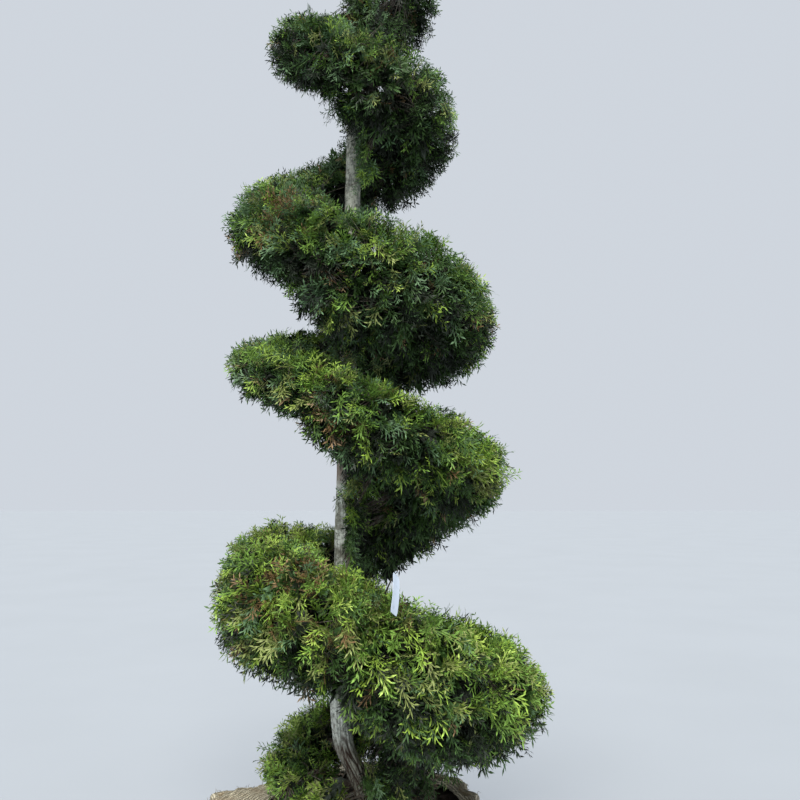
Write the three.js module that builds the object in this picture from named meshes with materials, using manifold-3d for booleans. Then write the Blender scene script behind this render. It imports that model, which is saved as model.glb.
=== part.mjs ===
// Spiral topiary: a clipped evergreen whose foliage winds round one trunk in a single band,
// standing on a root ball wrapped in burlap.
// Millimetres, +Z up. The origin is the centre of the root ball's flat underside, -Y is the front.

import * as THREE from "three";
import { mergeVertices } from "three/addons/utils/BufferGeometryUtils.js";
import Module from "manifold-3d";

const wasm = await Module();
wasm.setup();

// Space kept between pieces that meet
const CLEARANCE = 0.3;

// Root ball: a barrel with a flat foot, and a cloth wrap that ends in a rolled rim
const BALL_HEIGHT = 575;
const BALL_WIDEST_RADIUS = 500;
const BALL_WIDEST_AT = 285;
const BALL_FOOT_RADIUS = 360;
const BALL_RIM_RADIUS = 445;
const BALL_ROUNDNESS = 2.4;
const BALL_SIDES = 24;
const BALL_LEVELS = 6;
const WRAP_THICKNESS = 6;
const RIM_ROLL_RADIUS = 18;
const RIM_ROLL_STEPS = 5;
const RIM_ROLL_ARC = [-50, 190];
const SOIL_TOP = 535;

// Trunk: sideways place of its middle at some heights, then its girth
const TRUNK_LEAN = [
  [535, 115],
  [600, 82],
  [690, 43],
  [760, 8],
  [850, -7],
  [1100, -4],
  [1600, 2],
  [2700, 21],
  [4170, 40],
];
const TRUNK_FOOT = SOIL_TOP + CLEARANCE;
const TRUNK_TOP = 4170;
const TRUNK_LOW_RADIUS = 32;
const TRUNK_TIP_RADIUS = 9;
const TRUNK_TAPER_POWER = 3;
const ROOT_FLARE = 18;
const ROOT_FLARE_HEIGHT = 70;
const ROOT_LOBES = 5;
const ROOT_LOBE_DEPTH = 0.16;
const TRUNK_SIDES = 12;
const TRUNK_LEVELS = 22;
const TRUNK_LEVEL_CROWDING = 1.5;

// The band of foliage, from its low end up: half turns, height of its middle, reach from the
// trunk's middle, half its height. At 0 half turns the band is on the left, at 1 on the right.
const BAND = [
  [-0.4, 652, 300, 80],
  [-0.1, 672, 335, 100],
  [0.15, 715, 355, 120],
  [0.5, 785, 410, 165],
  [1, 905, 675, 235],
  [1.5, 1178, 555, 210],
  [2, 1260, 415, 205],
  [2.5, 1370, 470, 150],
  [3, 1640, 590, 132],
  [3.5, 1840, 420, 155],
  [4, 2035, 410, 105],
  [4.5, 2110, 470, 160],
  [5, 2195, 525, 190],
  [5.5, 2310, 430, 195],
  [6, 2540, 430, 185],
  [6.5, 2770, 360, 160],
  [7, 2880, 370, 145],
  [7.5, 3000, 325, 170],
  [8, 3200, 310, 140],
  [8.5, 3320, 300, 135],
  [9, 3450, 300, 125],
  [10, 3720, 240, 115],
  [11, 3900, 185, 95],
  [11.6, 3985, 135, 72],
];
const BAND_START = BAND[0][0];
const BAND_END = BAND.at(-1)[0];
const BAND_SQUARENESS = 2.5;
const BAND_INNER_EDGE = -0.3;
const SHORT_TURN = 0.02;
const END_ROUNDING = 0.35;
const END_SMALLEST = 0.3;

// Foliage masses: the band is parted into sectors, each a core that sprays stand out of
const MASS_COUNT = 25;
const SEAM_HALF_WIDTH = 0.5;
const CORE_SIZE = 0.88;
const CORE_SIDES = 10;
const CORE_TRUNK_GAP = 2;
const CORE_STEPS = 3;
const STEM_TRUNK_SHARE = 0.36;
const STEM_TAPER = 0.7;
const STEM_SIDES = 6;
const TWIG_TIP_RADIUS = 3;
const TWIG_SIDES = 3;
const TWIG_FORKS = [0.25, 0.5, 0.75];
const TWIG_ON_SPRAY = 0.15;

// Sprays: toothed blades, given as length along and width across in shares of their length
const SPRAY_OUTLINE = [
  [0, -0.06],
  [0.66, -0.4],
  [0.7, -0.14],
  [1, 0],
  [0.7, 0.14],
  [0.66, 0.4],
  [0, 0.06],
];
const SPRAY_HUB = 0.62;
const SPRAY_THICKNESS = 0.06;
const SPRAY_LENGTH = 215;
const SPRAY_LENGTH_REACH = 500;
const SPRAY_LENGTH_SPREAD = [0.85, 1.1];
const SPRAY_SPACING = 185;
const SPRAY_APART = 0.6;
const SPRAY_LIFT = [18, 48];
const SPRAY_ROLL = 30;
const SPRAY_ROOT_SIZE = 0.84;
const SPRAY_TIP_SIZE = [1, 1.05];
const SPRAY_REACH_SIZE = 1.07;
const SPRAY_TRUNK_GAP = 12;
const SPRAY_SEAM_GAP = 8;
const SPRAY_TRIES = 150;
const TRUNK_SIDE_LIMIT = -0.8;

// Tip: a pointed tuft over the trunk's end
const TIP_BOTTOM = 4070;
const TIP_TOP = 4320;
const TIP_RADIUS = 78;
const TIP_CORE_HEIGHT = 0.85;
const TIP_LEVELS = 5;
const TIP_FULLNESS = 0.55;
const TIP_SPRAYS = 8;
const TIP_SPRAY_LENGTH = 120;
const TIP_SPRAY_STEP = 2.4;
const TIP_SPRAY_LEAN = [38, 4];
const TIP_SPRAYS_FROM = 0.5;

const material = (color, roughness) =>
  new THREE.MeshStandardMaterial({ color, roughness, metalness: 0 });
const barkMaterial = material(0x8a7f72, 0.9);
const foliageMaterial = material(0x3f5f2a, 0.85);
const tipMaterial = material(0x55752f, 0.85);
const soilMaterial = material(0x4a382a, 1);
const burlapMaterial = material(0xb8a27c, 0.95);

const { lerp, clamp, degToRad } = THREE.MathUtils;

// A closed geometry as a solid that can be joined and cut
function solidFrom(geometry) {
  const bare = geometry.clone();
  bare.deleteAttribute("normal");
  bare.deleteAttribute("uv");
  const merged = mergeVertices(bare, 1e-3);
  return new wasm.Manifold(
    new wasm.Mesh({
      numProp: 3,
      vertProperties: merged.attributes.position.array,
      triVerts: new Uint32Array(merged.index.array),
    }),
  );
}

function meshFrom(solid, name, finish) {
  const { vertProperties, triVerts } = solid.getMesh();
  const geometry = new THREE.BufferGeometry();
  geometry.setAttribute("position", new THREE.BufferAttribute(vertProperties, 3));
  geometry.setIndex(new THREE.BufferAttribute(triVerts, 1));
  geometry.computeVertexNormals();
  const mesh = new THREE.Mesh(geometry, finish);
  mesh.name = name;
  return mesh;
}

// Joins solids into one body: hollows that this seals are filled, and loose scraps dropped
function fuse(solids) {
  const bodies = wasm.Manifold.union(solids).decompose();
  return bodies.reduce((best, next) => (next.volume() > best.volume() ? next : best));
}

// Moves every vertex of a geometry to where the function says
function reshape(geometry, place) {
  const position = geometry.attributes.position;
  const point = new THREE.Vector3();
  for (let i = 0; i < position.count; i += 1) {
    point.fromBufferAttribute(position, i);
    const { x, y, z } = place(point.clone());
    position.setXYZ(i, x, y, z);
  }
  return geometry;
}

// Numbers from 0 to 1 that are the same on every run
function seededRandom(seed) {
  let state = seed * 2654435761;
  return () => {
    state = (state + 0x6d2b79f5) | 0;
    let mixed = Math.imul(state ^ (state >>> 15), 1 | state);
    mixed = (mixed + Math.imul(mixed ^ (mixed >>> 7), 61 | mixed)) ^ mixed;
    return ((mixed ^ (mixed >>> 14)) >>> 0) / 4294967296;
  };
}

// A turned solid about +Z from a profile of radius and height
function turned(profile, sides) {
  const points = profile.map(([radius, height]) => new THREE.Vector2(radius, height));
  return new THREE.LatheGeometry(points, sides).rotateX(Math.PI / 2);
}

// Root ball

function ballRadius(height) {
  const low = height < BALL_WIDEST_AT;
  const run = low ? BALL_WIDEST_AT : BALL_HEIGHT - BALL_WIDEST_AT;
  const end = low ? BALL_FOOT_RADIUS : BALL_RIM_RADIUS;
  const share = Math.abs(height - BALL_WIDEST_AT) / run;
  return BALL_WIDEST_RADIUS - (BALL_WIDEST_RADIUS - end) * share ** BALL_ROUNDNESS;
}

function ballWall(from, to, inset) {
  return Array.from({ length: BALL_LEVELS + 1 }, (_, i) => {
    const height = lerp(from, to, i / BALL_LEVELS);
    return [ballRadius(height) - inset, height];
  });
}

function soilGeometry() {
  const inset = WRAP_THICKNESS + CLEARANCE;
  return turned([[0, inset], ...ballWall(inset, SOIL_TOP, inset), [0, SOIL_TOP]], BALL_SIDES);
}

function wrapGeometry() {
  const rollHeight = BALL_HEIGHT - RIM_ROLL_RADIUS;
  const roll = Array.from({ length: RIM_ROLL_STEPS + 1 }, (_, i) => {
    const turn = degToRad(lerp(...RIM_ROLL_ARC, i / RIM_ROLL_STEPS));
    return [
      ballRadius(rollHeight) + RIM_ROLL_RADIUS * Math.cos(turn),
      rollHeight + RIM_ROLL_RADIUS * Math.sin(turn),
    ];
  });
  const outside = ballWall(0, rollHeight - RIM_ROLL_RADIUS, 0);
  const inside = ballWall(WRAP_THICKNESS, SOIL_TOP, WRAP_THICKNESS).reverse();
  return turned([[0, 0], ...outside, ...roll, ...inside, [0, WRAP_THICKNESS]], BALL_SIDES);
}

// Trunk

const leanCurve = new THREE.CubicInterpolant(
  TRUNK_LEAN.map(([height]) => height),
  TRUNK_LEAN.map(([, sideways]) => sideways),
  1,
);

function trunkMiddle(height) {
  return leanCurve.evaluate(height)[0];
}

function trunkRadius(height) {
  const up = clamp((height - TRUNK_FOOT) / (TRUNK_TOP - TRUNK_FOOT), 0, 1);
  const flare = ROOT_FLARE * Math.exp(-(height - TRUNK_FOOT) / ROOT_FLARE_HEIGHT);
  return lerp(TRUNK_LOW_RADIUS, TRUNK_TIP_RADIUS, up ** TRUNK_TAPER_POWER) + flare;
}

// The trunk grown by a margin all round, so that what meets it can be cut to fit
function trunkGeometry(margin) {
  const levels = Array.from({ length: TRUNK_LEVELS + 1 }, (_, i) =>
    lerp(TRUNK_FOOT, TRUNK_TOP, (i / TRUNK_LEVELS) ** TRUNK_LEVEL_CROWDING),
  );
  const wall = levels.map((height) => [trunkRadius(height) + margin, height]);
  wall[0][1] -= margin;
  wall.at(-1)[1] += margin;
  const ends = [wall[0][1], wall.at(-1)[1]];
  const post = turned([[0, ends[0]], ...wall, [0, ends[1]]], TRUNK_SIDES);
  return reshape(post, (point) => {
    const fade = Math.exp(-(point.z - TRUNK_FOOT) / ROOT_FLARE_HEIGHT);
    const lobe = 1 + ROOT_LOBE_DEPTH * fade * Math.cos(ROOT_LOBES * Math.atan2(point.y, point.x));
    return new THREE.Vector3(point.x * lobe + trunkMiddle(point.z), point.y * lobe, point.z);
  });
}

// Band of foliage

const bandCurve = new THREE.CubicInterpolant(
  BAND.map(([turn]) => turn),
  BAND.flatMap(([, ...sizes]) => sizes),
  3,
);

// The band reaches a little past the trunk's middle, and its core is cut clear of the trunk.
// It narrows to a blunt round end at its foot
function endSize(turn) {
  const inwards = clamp((turn - BAND_START) / END_ROUNDING, 0, 1);
  return Math.max(END_SMALLEST, Math.sqrt(1 - (1 - inwards) ** 2));
}

function bandAt(turn) {
  const [height, reach, halfHeight] = bandCurve.evaluate(turn);
  const inner = BAND_INNER_EDGE * trunkRadius(height);
  const size = endSize(turn);
  return {
    angle: Math.PI * (1 - turn),
    height,
    reach,
    middle: (reach + inner) / 2,
    halfWidth: ((reach - inner) / 2) * size,
    halfHeight: halfHeight * size,
    trunk: trunkMiddle(height),
  };
}

const squared = (value) => Math.sign(value) * Math.abs(value) ** (2 / BAND_SQUARENESS);

// A point of the band: half turns along it, angle round its section, share of its full size
function bandPoint(turn, around, size) {
  const at = bandAt(turn);
  const radius = at.middle + at.halfWidth * size * squared(Math.cos(around));
  return new THREE.Vector3(
    at.trunk + radius * Math.cos(at.angle),
    radius * Math.sin(at.angle),
    at.height + at.halfHeight * size * squared(Math.sin(around)),
  );
}

// Where a point lies in the band, near the given half turns
function bandPlace(point, nearTurn) {
  let turn = nearTurn;
  for (let round = 0; round < 3; round += 1) {
    const raw = 1 - Math.atan2(point.y, point.x - bandAt(turn).trunk) / Math.PI;
    turn = raw + 2 * Math.round((nearTurn - raw) / 2);
  }
  const at = bandAt(turn);
  const radius = Math.hypot(point.x - at.trunk, point.y);
  const across = Math.abs(radius - at.middle) / at.halfWidth;
  const up = Math.abs(point.z - at.height) / at.halfHeight;
  const size = (across ** BAND_SQUARENESS + up ** BAND_SQUARENESS) ** (1 / BAND_SQUARENESS);
  return { turn, size, radius };
}

// The solid inside of a mass, with parallel faces along its seams with its neighbours
function coreGeometry(from, to) {
  const rod = new THREE.CylinderGeometry(1, 1, 1, CORE_SIDES, CORE_STEPS);
  return reshape(rod, ({ x, y, z }) => {
    const turn = lerp(from, to, 0.5 - y);
    const point = bandPoint(turn, Math.atan2(z, x), CORE_SIZE * Math.hypot(x, z));
    const seam = Math.abs(y) > 0.49 ? Math.sign(y) * SEAM_HALF_WIDTH : 0;
    const { angle } = bandAt(turn);
    point.x += seam * Math.sin(angle);
    point.y -= seam * Math.cos(angle);
    return point;
  });
}

// A straight tapering limb between two points
function limbGeometry(from, to, fromRadius, toRadius, sides) {
  const run = new THREE.Vector3().subVectors(to, from);
  const turn = new THREE.Quaternion().setFromUnitVectors(
    new THREE.Vector3(0, 1, 0),
    run.clone().normalize(),
  );
  const middle = new THREE.Vector3().lerpVectors(from, to, 0.5);
  return new THREE.CylinderGeometry(toRadius, fromRadius, run.length(), sides)
    .applyQuaternion(turn)
    .translate(middle.x, middle.y, middle.z);
}

// The corners of a spray that lies along one direction and spreads along another
function sprayCorners({ root, along, across, length }) {
  return SPRAY_OUTLINE.map(([out, aside]) =>
    root
      .clone()
      .addScaledVector(along, out * length)
      .addScaledVector(across, aside * length),
  );
}

// A toothed blade: a low double cone whose rim follows the spray's outline
function sprayGeometry(spray) {
  const corners = sprayCorners(spray);
  const hub = spray.root.clone().addScaledVector(spray.along, SPRAY_HUB * spray.length);
  const face = new THREE.Vector3().crossVectors(spray.along, spray.across);
  const thick = (SPRAY_THICKNESS * spray.length) / 2;
  const doubleCone = new THREE.SphereGeometry(1, corners.length, 2);
  return reshape(doubleCone, ({ x, y, z }) => {
    if (Math.hypot(x, z) < 0.5) return hub.clone().addScaledVector(face, y * thick);
    const step = Math.round((Math.atan2(z, -x) / (2 * Math.PI)) * corners.length);
    return corners[(step + corners.length) % corners.length];
  });
}

// One spray that ends at a place on the band's surface, with its root inside the core
function drawSpray(random, from, to) {
  const turn = lerp(from, to, random());
  const around = 2 * Math.PI * random();
  const tip = bandPoint(turn, around, lerp(...SPRAY_TIP_SIZE, random()));
  const outwards = tip.clone().sub(bandPoint(turn, around, 0.5)).normalize();
  const onwards = bandPoint(turn + SHORT_TURN, around, 1)
    .sub(bandPoint(turn - SHORT_TURN, around, 1))
    .normalize();
  const beside = new THREE.Vector3().crossVectors(outwards, onwards).normalize();
  const lift = degToRad(lerp(...SPRAY_LIFT, random()));
  const heading = 2 * Math.PI * random();
  const along = outwards
    .clone()
    .multiplyScalar(Math.sin(lift))
    .addScaledVector(onwards, Math.cos(lift) * Math.cos(heading))
    .addScaledVector(beside, Math.cos(lift) * Math.sin(heading))
    .normalize();
  const roll = degToRad(lerp(-SPRAY_ROLL, SPRAY_ROLL, random()));
  const across = new THREE.Vector3()
    .crossVectors(along, outwards)
    .normalize()
    .applyAxisAngle(along, roll);
  const reachShare = bandAt(turn).reach / SPRAY_LENGTH_REACH;
  const length = SPRAY_LENGTH * Math.sqrt(reachShare) * lerp(...SPRAY_LENGTH_SPREAD, random());
  const root = tip.clone().addScaledVector(along, -length);
  const hub = root.clone().addScaledVector(along, SPRAY_HUB * length);
  return { root, hub, along, across, length, turn, around };
}

// A spray is kept only if it stays in its mass's space, clear of the trunk, with its root sunk in
function fits(spray, from, to) {
  if (Math.cos(spray.around) < TRUNK_SIDE_LIMIT) return false;
  const rootPlace = bandPlace(spray.root, spray.turn);
  if (rootPlace.size > SPRAY_ROOT_SIZE) return false;
  return sprayCorners(spray).every((corner) => {
    const place = bandPlace(corner, spray.turn);
    const trunkGap = place.radius - trunkRadius(corner.z);
    const seamGap = Math.min(place.turn - from, to - place.turn) * Math.PI * place.radius;
    const clear = seamGap > SPRAY_SEAM_GAP && trunkGap > SPRAY_TRUNK_GAP;
    return clear && place.size < SPRAY_REACH_SIZE;
  });
}

function massArea(from, to) {
  const at = bandAt((from + to) / 2);
  const path = (to - from) * Math.PI * at.middle;
  return path * 4 * (at.halfWidth + at.halfHeight);
}

function massSprays(from, to, seed) {
  const random = seededRandom(seed);
  const wanted = Math.round(massArea(from, to) / SPRAY_SPACING ** 2);
  const sprays = [];
  for (let i = 0; i < wanted * SPRAY_TRIES && sprays.length < wanted; i += 1) {
    const spray = drawSpray(random, from, to);
    const apart = sprays.every(
      ({ hub, length }) => hub.distanceTo(spray.hub) > SPRAY_APART * length,
    );
    if (apart && fits(spray, from, to)) sprays.push(spray);
  }
  return sprays;
}

// One mass: a stem from the trunk, twigs from forks along it, a core and the sprays on the twigs
function massSolid(from, to, seed, room) {
  const forks = TWIG_FORKS.map((share) => bandPoint(lerp(from, to, share), 0, 0));
  const middle = forks[1];
  const trunkPoint = new THREE.Vector3(trunkMiddle(middle.z), 0, middle.z);
  const core = solidFrom(coreGeometry(from, to)).subtract(room.core);
  const stemRadius = STEM_TRUNK_SHARE * trunkRadius(middle.z);
  const pieces = [
    limbGeometry(trunkPoint, middle, stemRadius, STEM_TAPER * stemRadius, STEM_SIDES),
  ];
  for (const spray of massSprays(from, to, seed)) {
    const fork = forks.reduce((best, next) =>
      next.distanceTo(spray.root) < best.distanceTo(spray.root) ? next : best,
    );
    const join = spray.root.clone().addScaledVector(spray.along, TWIG_ON_SPRAY * spray.length);
    pieces.push(limbGeometry(fork, join, stemRadius / 2, TWIG_TIP_RADIUS, TWIG_SIDES));
    pieces.push(sprayGeometry(spray));
  }
  return fuse([core, ...pieces.map(solidFrom)]).subtract(room.limb);
}

function tipSolid(room) {
  const random = seededRandom(TIP_SPRAYS);
  const height = TIP_TOP - TIP_BOTTOM;
  const profile = Array.from({ length: TIP_LEVELS + 1 }, (_, i) => {
    const share = i / TIP_LEVELS;
    const radius = TIP_RADIUS * CORE_SIZE * Math.sin(Math.PI * share ** TIP_FULLNESS);
    return [Math.max(0, radius), TIP_BOTTOM + share * height * TIP_CORE_HEIGHT];
  });
  profile.at(-1)[0] = 0;
  const middle = trunkMiddle(TIP_BOTTOM);
  const core = turned(profile, CORE_SIDES).translate(middle, 0, 0);
  const pieces = [core];
  for (let i = 0; i < TIP_SPRAYS; i += 1) {
    const share = i / (TIP_SPRAYS - 1);
    const angle = i * TIP_SPRAY_STEP + random();
    const lean = degToRad(lerp(...TIP_SPRAY_LEAN, share));
    const along = new THREE.Vector3(
      Math.sin(lean) * Math.cos(angle),
      Math.sin(lean) * Math.sin(angle),
      Math.cos(lean),
    );
    const across = new THREE.Vector3(-Math.sin(angle), Math.cos(angle), 0);
    const top = lerp(TIP_BOTTOM + TIP_SPRAYS_FROM * height, TIP_TOP, share);
    const root = new THREE.Vector3(middle, 0, top - TIP_SPRAY_LENGTH * Math.cos(lean));
    pieces.push(sprayGeometry({ root, along, across, length: TIP_SPRAY_LENGTH }));
  }
  return fuse(pieces.map(solidFrom)).subtract(room.limb);
}

// Assembly

const group = new THREE.Group();
group.add(meshFrom(solidFrom(wrapGeometry()), "burlap_wrap", burlapMaterial));
group.add(meshFrom(solidFrom(soilGeometry()), "root_ball_soil", soilMaterial));
group.add(meshFrom(solidFrom(trunkGeometry(0)), "trunk", barkMaterial));

// What each part of a mass leaves free round the trunk
const room = {
  limb: solidFrom(trunkGeometry(CLEARANCE)),
  core: solidFrom(trunkGeometry(CORE_TRUNK_GAP)),
};
const massTurns = (BAND_END - BAND_START) / MASS_COUNT;
for (let i = 0; i < MASS_COUNT; i += 1) {
  const from = BAND_START + i * massTurns;
  const to = from + massTurns;
  const name = `foliage_${String(i + 1).padStart(2, "0")}`;
  group.add(meshFrom(massSolid(from, to, i + 1, room), name, foliageMaterial));
}
group.add(meshFrom(tipSolid(room), "foliage_tip", tipMaterial));

export default group;
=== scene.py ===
"""A clipped evergreen spiral on a burlap-wrapped root ball.

One band of scale-leaf foliage winds down a bare, slightly leaning trunk. The sizes below are metres.
+Z is up, -Y is the front and +X the front's right. The middle of the ball's underside is the origin.
"""

import functools
import math

import bpy
import numpy as np
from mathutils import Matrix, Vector, noise


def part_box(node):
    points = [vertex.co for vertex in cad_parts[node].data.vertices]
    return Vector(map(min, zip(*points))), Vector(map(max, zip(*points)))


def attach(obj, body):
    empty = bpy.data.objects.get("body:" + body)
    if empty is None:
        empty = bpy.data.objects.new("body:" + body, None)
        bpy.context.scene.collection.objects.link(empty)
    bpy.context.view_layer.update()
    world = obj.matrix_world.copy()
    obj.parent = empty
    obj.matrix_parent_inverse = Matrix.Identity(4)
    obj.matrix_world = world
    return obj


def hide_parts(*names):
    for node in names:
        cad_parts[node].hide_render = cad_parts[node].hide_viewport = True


bl_info = {
    "name": "Spiral Evergreen",
    "version": (1, 0, 0),
    "blender": (4, 5, 0),
    "location": "3D View > Sidebar > Spiral",
    "description": "A clipped spiral shrub with a bark trunk, fine leaf sprays and a wrapped root ball",
    "category": "Add Mesh",
}

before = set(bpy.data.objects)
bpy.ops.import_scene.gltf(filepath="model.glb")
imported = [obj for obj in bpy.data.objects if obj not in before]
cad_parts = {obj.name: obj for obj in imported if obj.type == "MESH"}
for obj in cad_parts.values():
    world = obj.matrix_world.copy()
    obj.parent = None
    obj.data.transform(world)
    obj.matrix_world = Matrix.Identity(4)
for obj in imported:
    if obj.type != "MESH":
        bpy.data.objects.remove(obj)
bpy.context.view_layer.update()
bpy.ops.object.select_all(action="DESELECT")

BODY = "root"
WRAP_NODE = "burlap_wrap"
SOIL_NODE = "root_ball_soil"
TRUNK_NODE = "trunk"
TIP_NODE = "foliage_tip"
MASS_NODES = sorted(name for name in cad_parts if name.startswith("foliage_") and name != TIP_NODE)

# Root ball, its wrap and its soil
BALL_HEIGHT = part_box(WRAP_NODE)[1].z
BALL_WIDEST_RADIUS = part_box(WRAP_NODE)[1].x
BALL_WIDEST_AT = 0.285
BALL_FOOT_RADIUS = 0.36
BALL_RIM_RADIUS = 0.445
BALL_ROUNDNESS = 2.4
WRAP_THICKNESS = 0.006
RIM_ROLL_RADIUS = 0.018
RIM_ROLL_ARC = (-50, 190)
SOIL_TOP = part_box(SOIL_NODE)[1].z
WRAP_SIDES = 288
SOIL_SIDES = 200
FRAY_COUNT = 300
FRAY_RADII = (0.0011, 0.0005)
FOLD_COUNT = 46
CLOD_COUNT = 420
CLOD_SHAPES = 6
CLOD_SIZES = (0.004, 0.017)
LITTER_COUNT = 90
# The low shoulder at the back left: where round the ball, how wide and how much lower
SHOULDER_AT = math.radians(124)
SHOULDER_SPREAD = 0.52
SHOULDER_DROP = 0.055
# The cloth's edge that is folded in over the soil
FLAP_WIDTH = 0.030
FLAP_WIDEST = 0.150
FLAP_WIDEST_AT = math.radians(150)
FLAP_THICKNESS = 0.0026
FLAP_RINGS = 44

# Trunk: height and sideways place
TRUNK_LEAN = (
    (0.535, 0.115),
    (0.600, 0.082),
    (0.690, 0.043),
    (0.760, 0.008),
    (0.850, -0.007),
    (1.100, -0.004),
    (1.600, 0.002),
    (2.700, 0.021),
    (4.170, 0.040),
)
TRUNK_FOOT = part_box(TRUNK_NODE)[0].z
TRUNK_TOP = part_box(TRUNK_NODE)[1].z
TRUNK_LOW_RADIUS = 0.032
TRUNK_TIP_RADIUS = 0.009
TRUNK_TAPER_POWER = 3
ROOT_FLARE = 0.018
ROOT_FLARE_HEIGHT = 0.070
ROOT_LOBES = 5
ROOT_LOBE_DEPTH = 0.16
# Turn of the bark's fibres by the metre, and their pattern's scale along the trunk
BARK_TWIST = 0.5
BARK_STRETCH = 0.11
TRUNK_SIDES = 84
TRUNK_RINGS = 640
# Heights between which the fissured bark of the foot gives way to smooth bark
OLD_BARK = (0.70, 1.00)
# The brown collar where a bough was cut: heights over which it comes in from below and from above
CUT_COLLAR = ((1.60, 1.655), (1.76, 1.70))
CUT_COLOUR = (0.150, 0.085, 0.055)

# Band of foliage: half turns along it, height of its middle, reach from the trunk, half its height
BAND = (
    (-0.4, 0.652, 0.300, 0.080),
    (-0.1, 0.672, 0.335, 0.100),
    (0.15, 0.715, 0.355, 0.120),
    (0.5, 0.785, 0.410, 0.165),
    (1, 0.905, 0.675, 0.235),
    (1.5, 1.178, 0.555, 0.210),
    (2, 1.260, 0.415, 0.205),
    (2.5, 1.370, 0.470, 0.150),
    (3, 1.640, 0.590, 0.132),
    (3.5, 1.840, 0.420, 0.155),
    (4, 2.035, 0.410, 0.105),
    (4.5, 2.110, 0.470, 0.160),
    (5, 2.195, 0.525, 0.190),
    (5.5, 2.310, 0.430, 0.195),
    (6, 2.540, 0.430, 0.185),
    (6.5, 2.770, 0.360, 0.160),
    (7, 2.880, 0.370, 0.145),
    (7.5, 3.000, 0.325, 0.170),
    (8, 3.200, 0.310, 0.140),
    (8.5, 3.320, 0.300, 0.135),
    (9, 3.450, 0.300, 0.125),
    (10, 3.720, 0.240, 0.115),
    (11, 3.900, 0.185, 0.095),
    (11.6, 3.985, 0.135, 0.072),
)
BAND_START = BAND[0][0]
BAND_END = BAND[-1][0]
BAND_SQUARENESS = 2.5
# Where the section starts, in trunk radii from the trunk's middle
BAND_INNER_EDGE = -0.3
# The band's rounded lower end: how many half turns it takes, and the share of the section it starts with
END_ROUNDING = 0.35
END_SMALLEST = 0.3
# Half turns before the band's end at which its coarse under and inner sprigs stop
INNER_END = 0.7
# Cosine of the angle round the section past which it faces the trunk and carries no sprigs
TRUNK_SIDE_LIMIT = -0.8
# Reach at which sprigs have their full size, and how slowly they shrink with it
REACH_FULL_SIZE = 0.5
SHRINK_POWER = 0.3
MASS_TURNS = (BAND_END - BAND_START) / len(MASS_NODES)

# Boughs: a stem's share of the trunk's radius, its taper, and where along a mass the boughs fork
STEM_TRUNK_SHARE = 0.36
STEM_TAPER = 0.7
FORKS = (0.25, 0.5, 0.75)
BOUGH_ENDS_PER_MASS = 18
BOUGH_END_SIZE = (0.45, 0.66)
BOUGH_TIP_RADIUS = 0.0028
TWIG_RADII = (0.0019, 0.0009)
# How far a bough's end stays from the trunk, and a frond's root, middle and tip
BOUGH_CLEARANCE = 0.02
FROND_CLEARANCES = (0.004, 0.012, 0.008)

# Unevenness of the clipped surface: shares of the band's section, and how fine
LUMP, LUMP_FINENESS = 0.018, 4.5
TUFT, TUFT_FINENESS = 0.045, 12.0
# Metres that the tips stand out past the section on its top, and lie inside it on its underside
TIPS_UP = 0.010
# Share taken off the section behind the foot
LOW_END_TRIM = 0.20
# Where the clipping cut deeper or less deep: half turns, spread, which side (away from the trunk, up), share
CUTS = (
    (0.30, 0.30, (0.2, 1.0), 0.10),
    (0.96, 0.24, (0.3, -1.0), 0.26),
    (1.00, 0.30, (1.0, 0.1), -0.050),
    (1.20, 0.35, (0.3, 1.0), 0.08),
    (1.31, 0.15, (0.0, -1.0), -0.13),
    (1.64, 0.14, (0.0, -1.0), 0.15),
    (2.02, 0.18, (1.0, -0.3), 0.15),
    (2.05, 0.30, (0.6, 0.8), -0.09),
    (2.45, 0.22, (0.0, 1.0), 0.26),
    (2.66, 0.14, (0.0, -1.0), -0.18),
    (3.05, 0.26, (0.5, -0.9), 0.17),
    (3.50, 0.08, (0.0, -1.0), -0.20),
    (3.69, 0.13, (0.2, -1.0), 0.30),
    (4.00, 0.22, (0.7, -0.7), -0.06),
    (4.40, 0.24, (0.0, 1.0), 0.26),
    (5.05, 0.24, (0.4, 0.9), 0.08),
    (5.35, 0.24, (0.0, 1.0), -0.08),
    (5.55, 0.10, (0.0, -1.0), -0.30),
    (5.80, 0.13, (0.3, -1.0), 0.22),
    (6.02, 0.18, (0.6, -0.9), -0.06),
    (6.50, 0.22, (0.0, 1.0), -0.15),
    (6.95, 0.20, (0.3, -1.0), 0.10),
    (7.10, 0.38, (1.0, 0.1), -0.10),
    (7.64, 0.18, (0.0, -1.0), 0.12),
    (8.00, 0.28, (0.8, 0.6), -0.025),
    (9.10, 0.38, (1.0, 0.1), -0.13),
)

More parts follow.
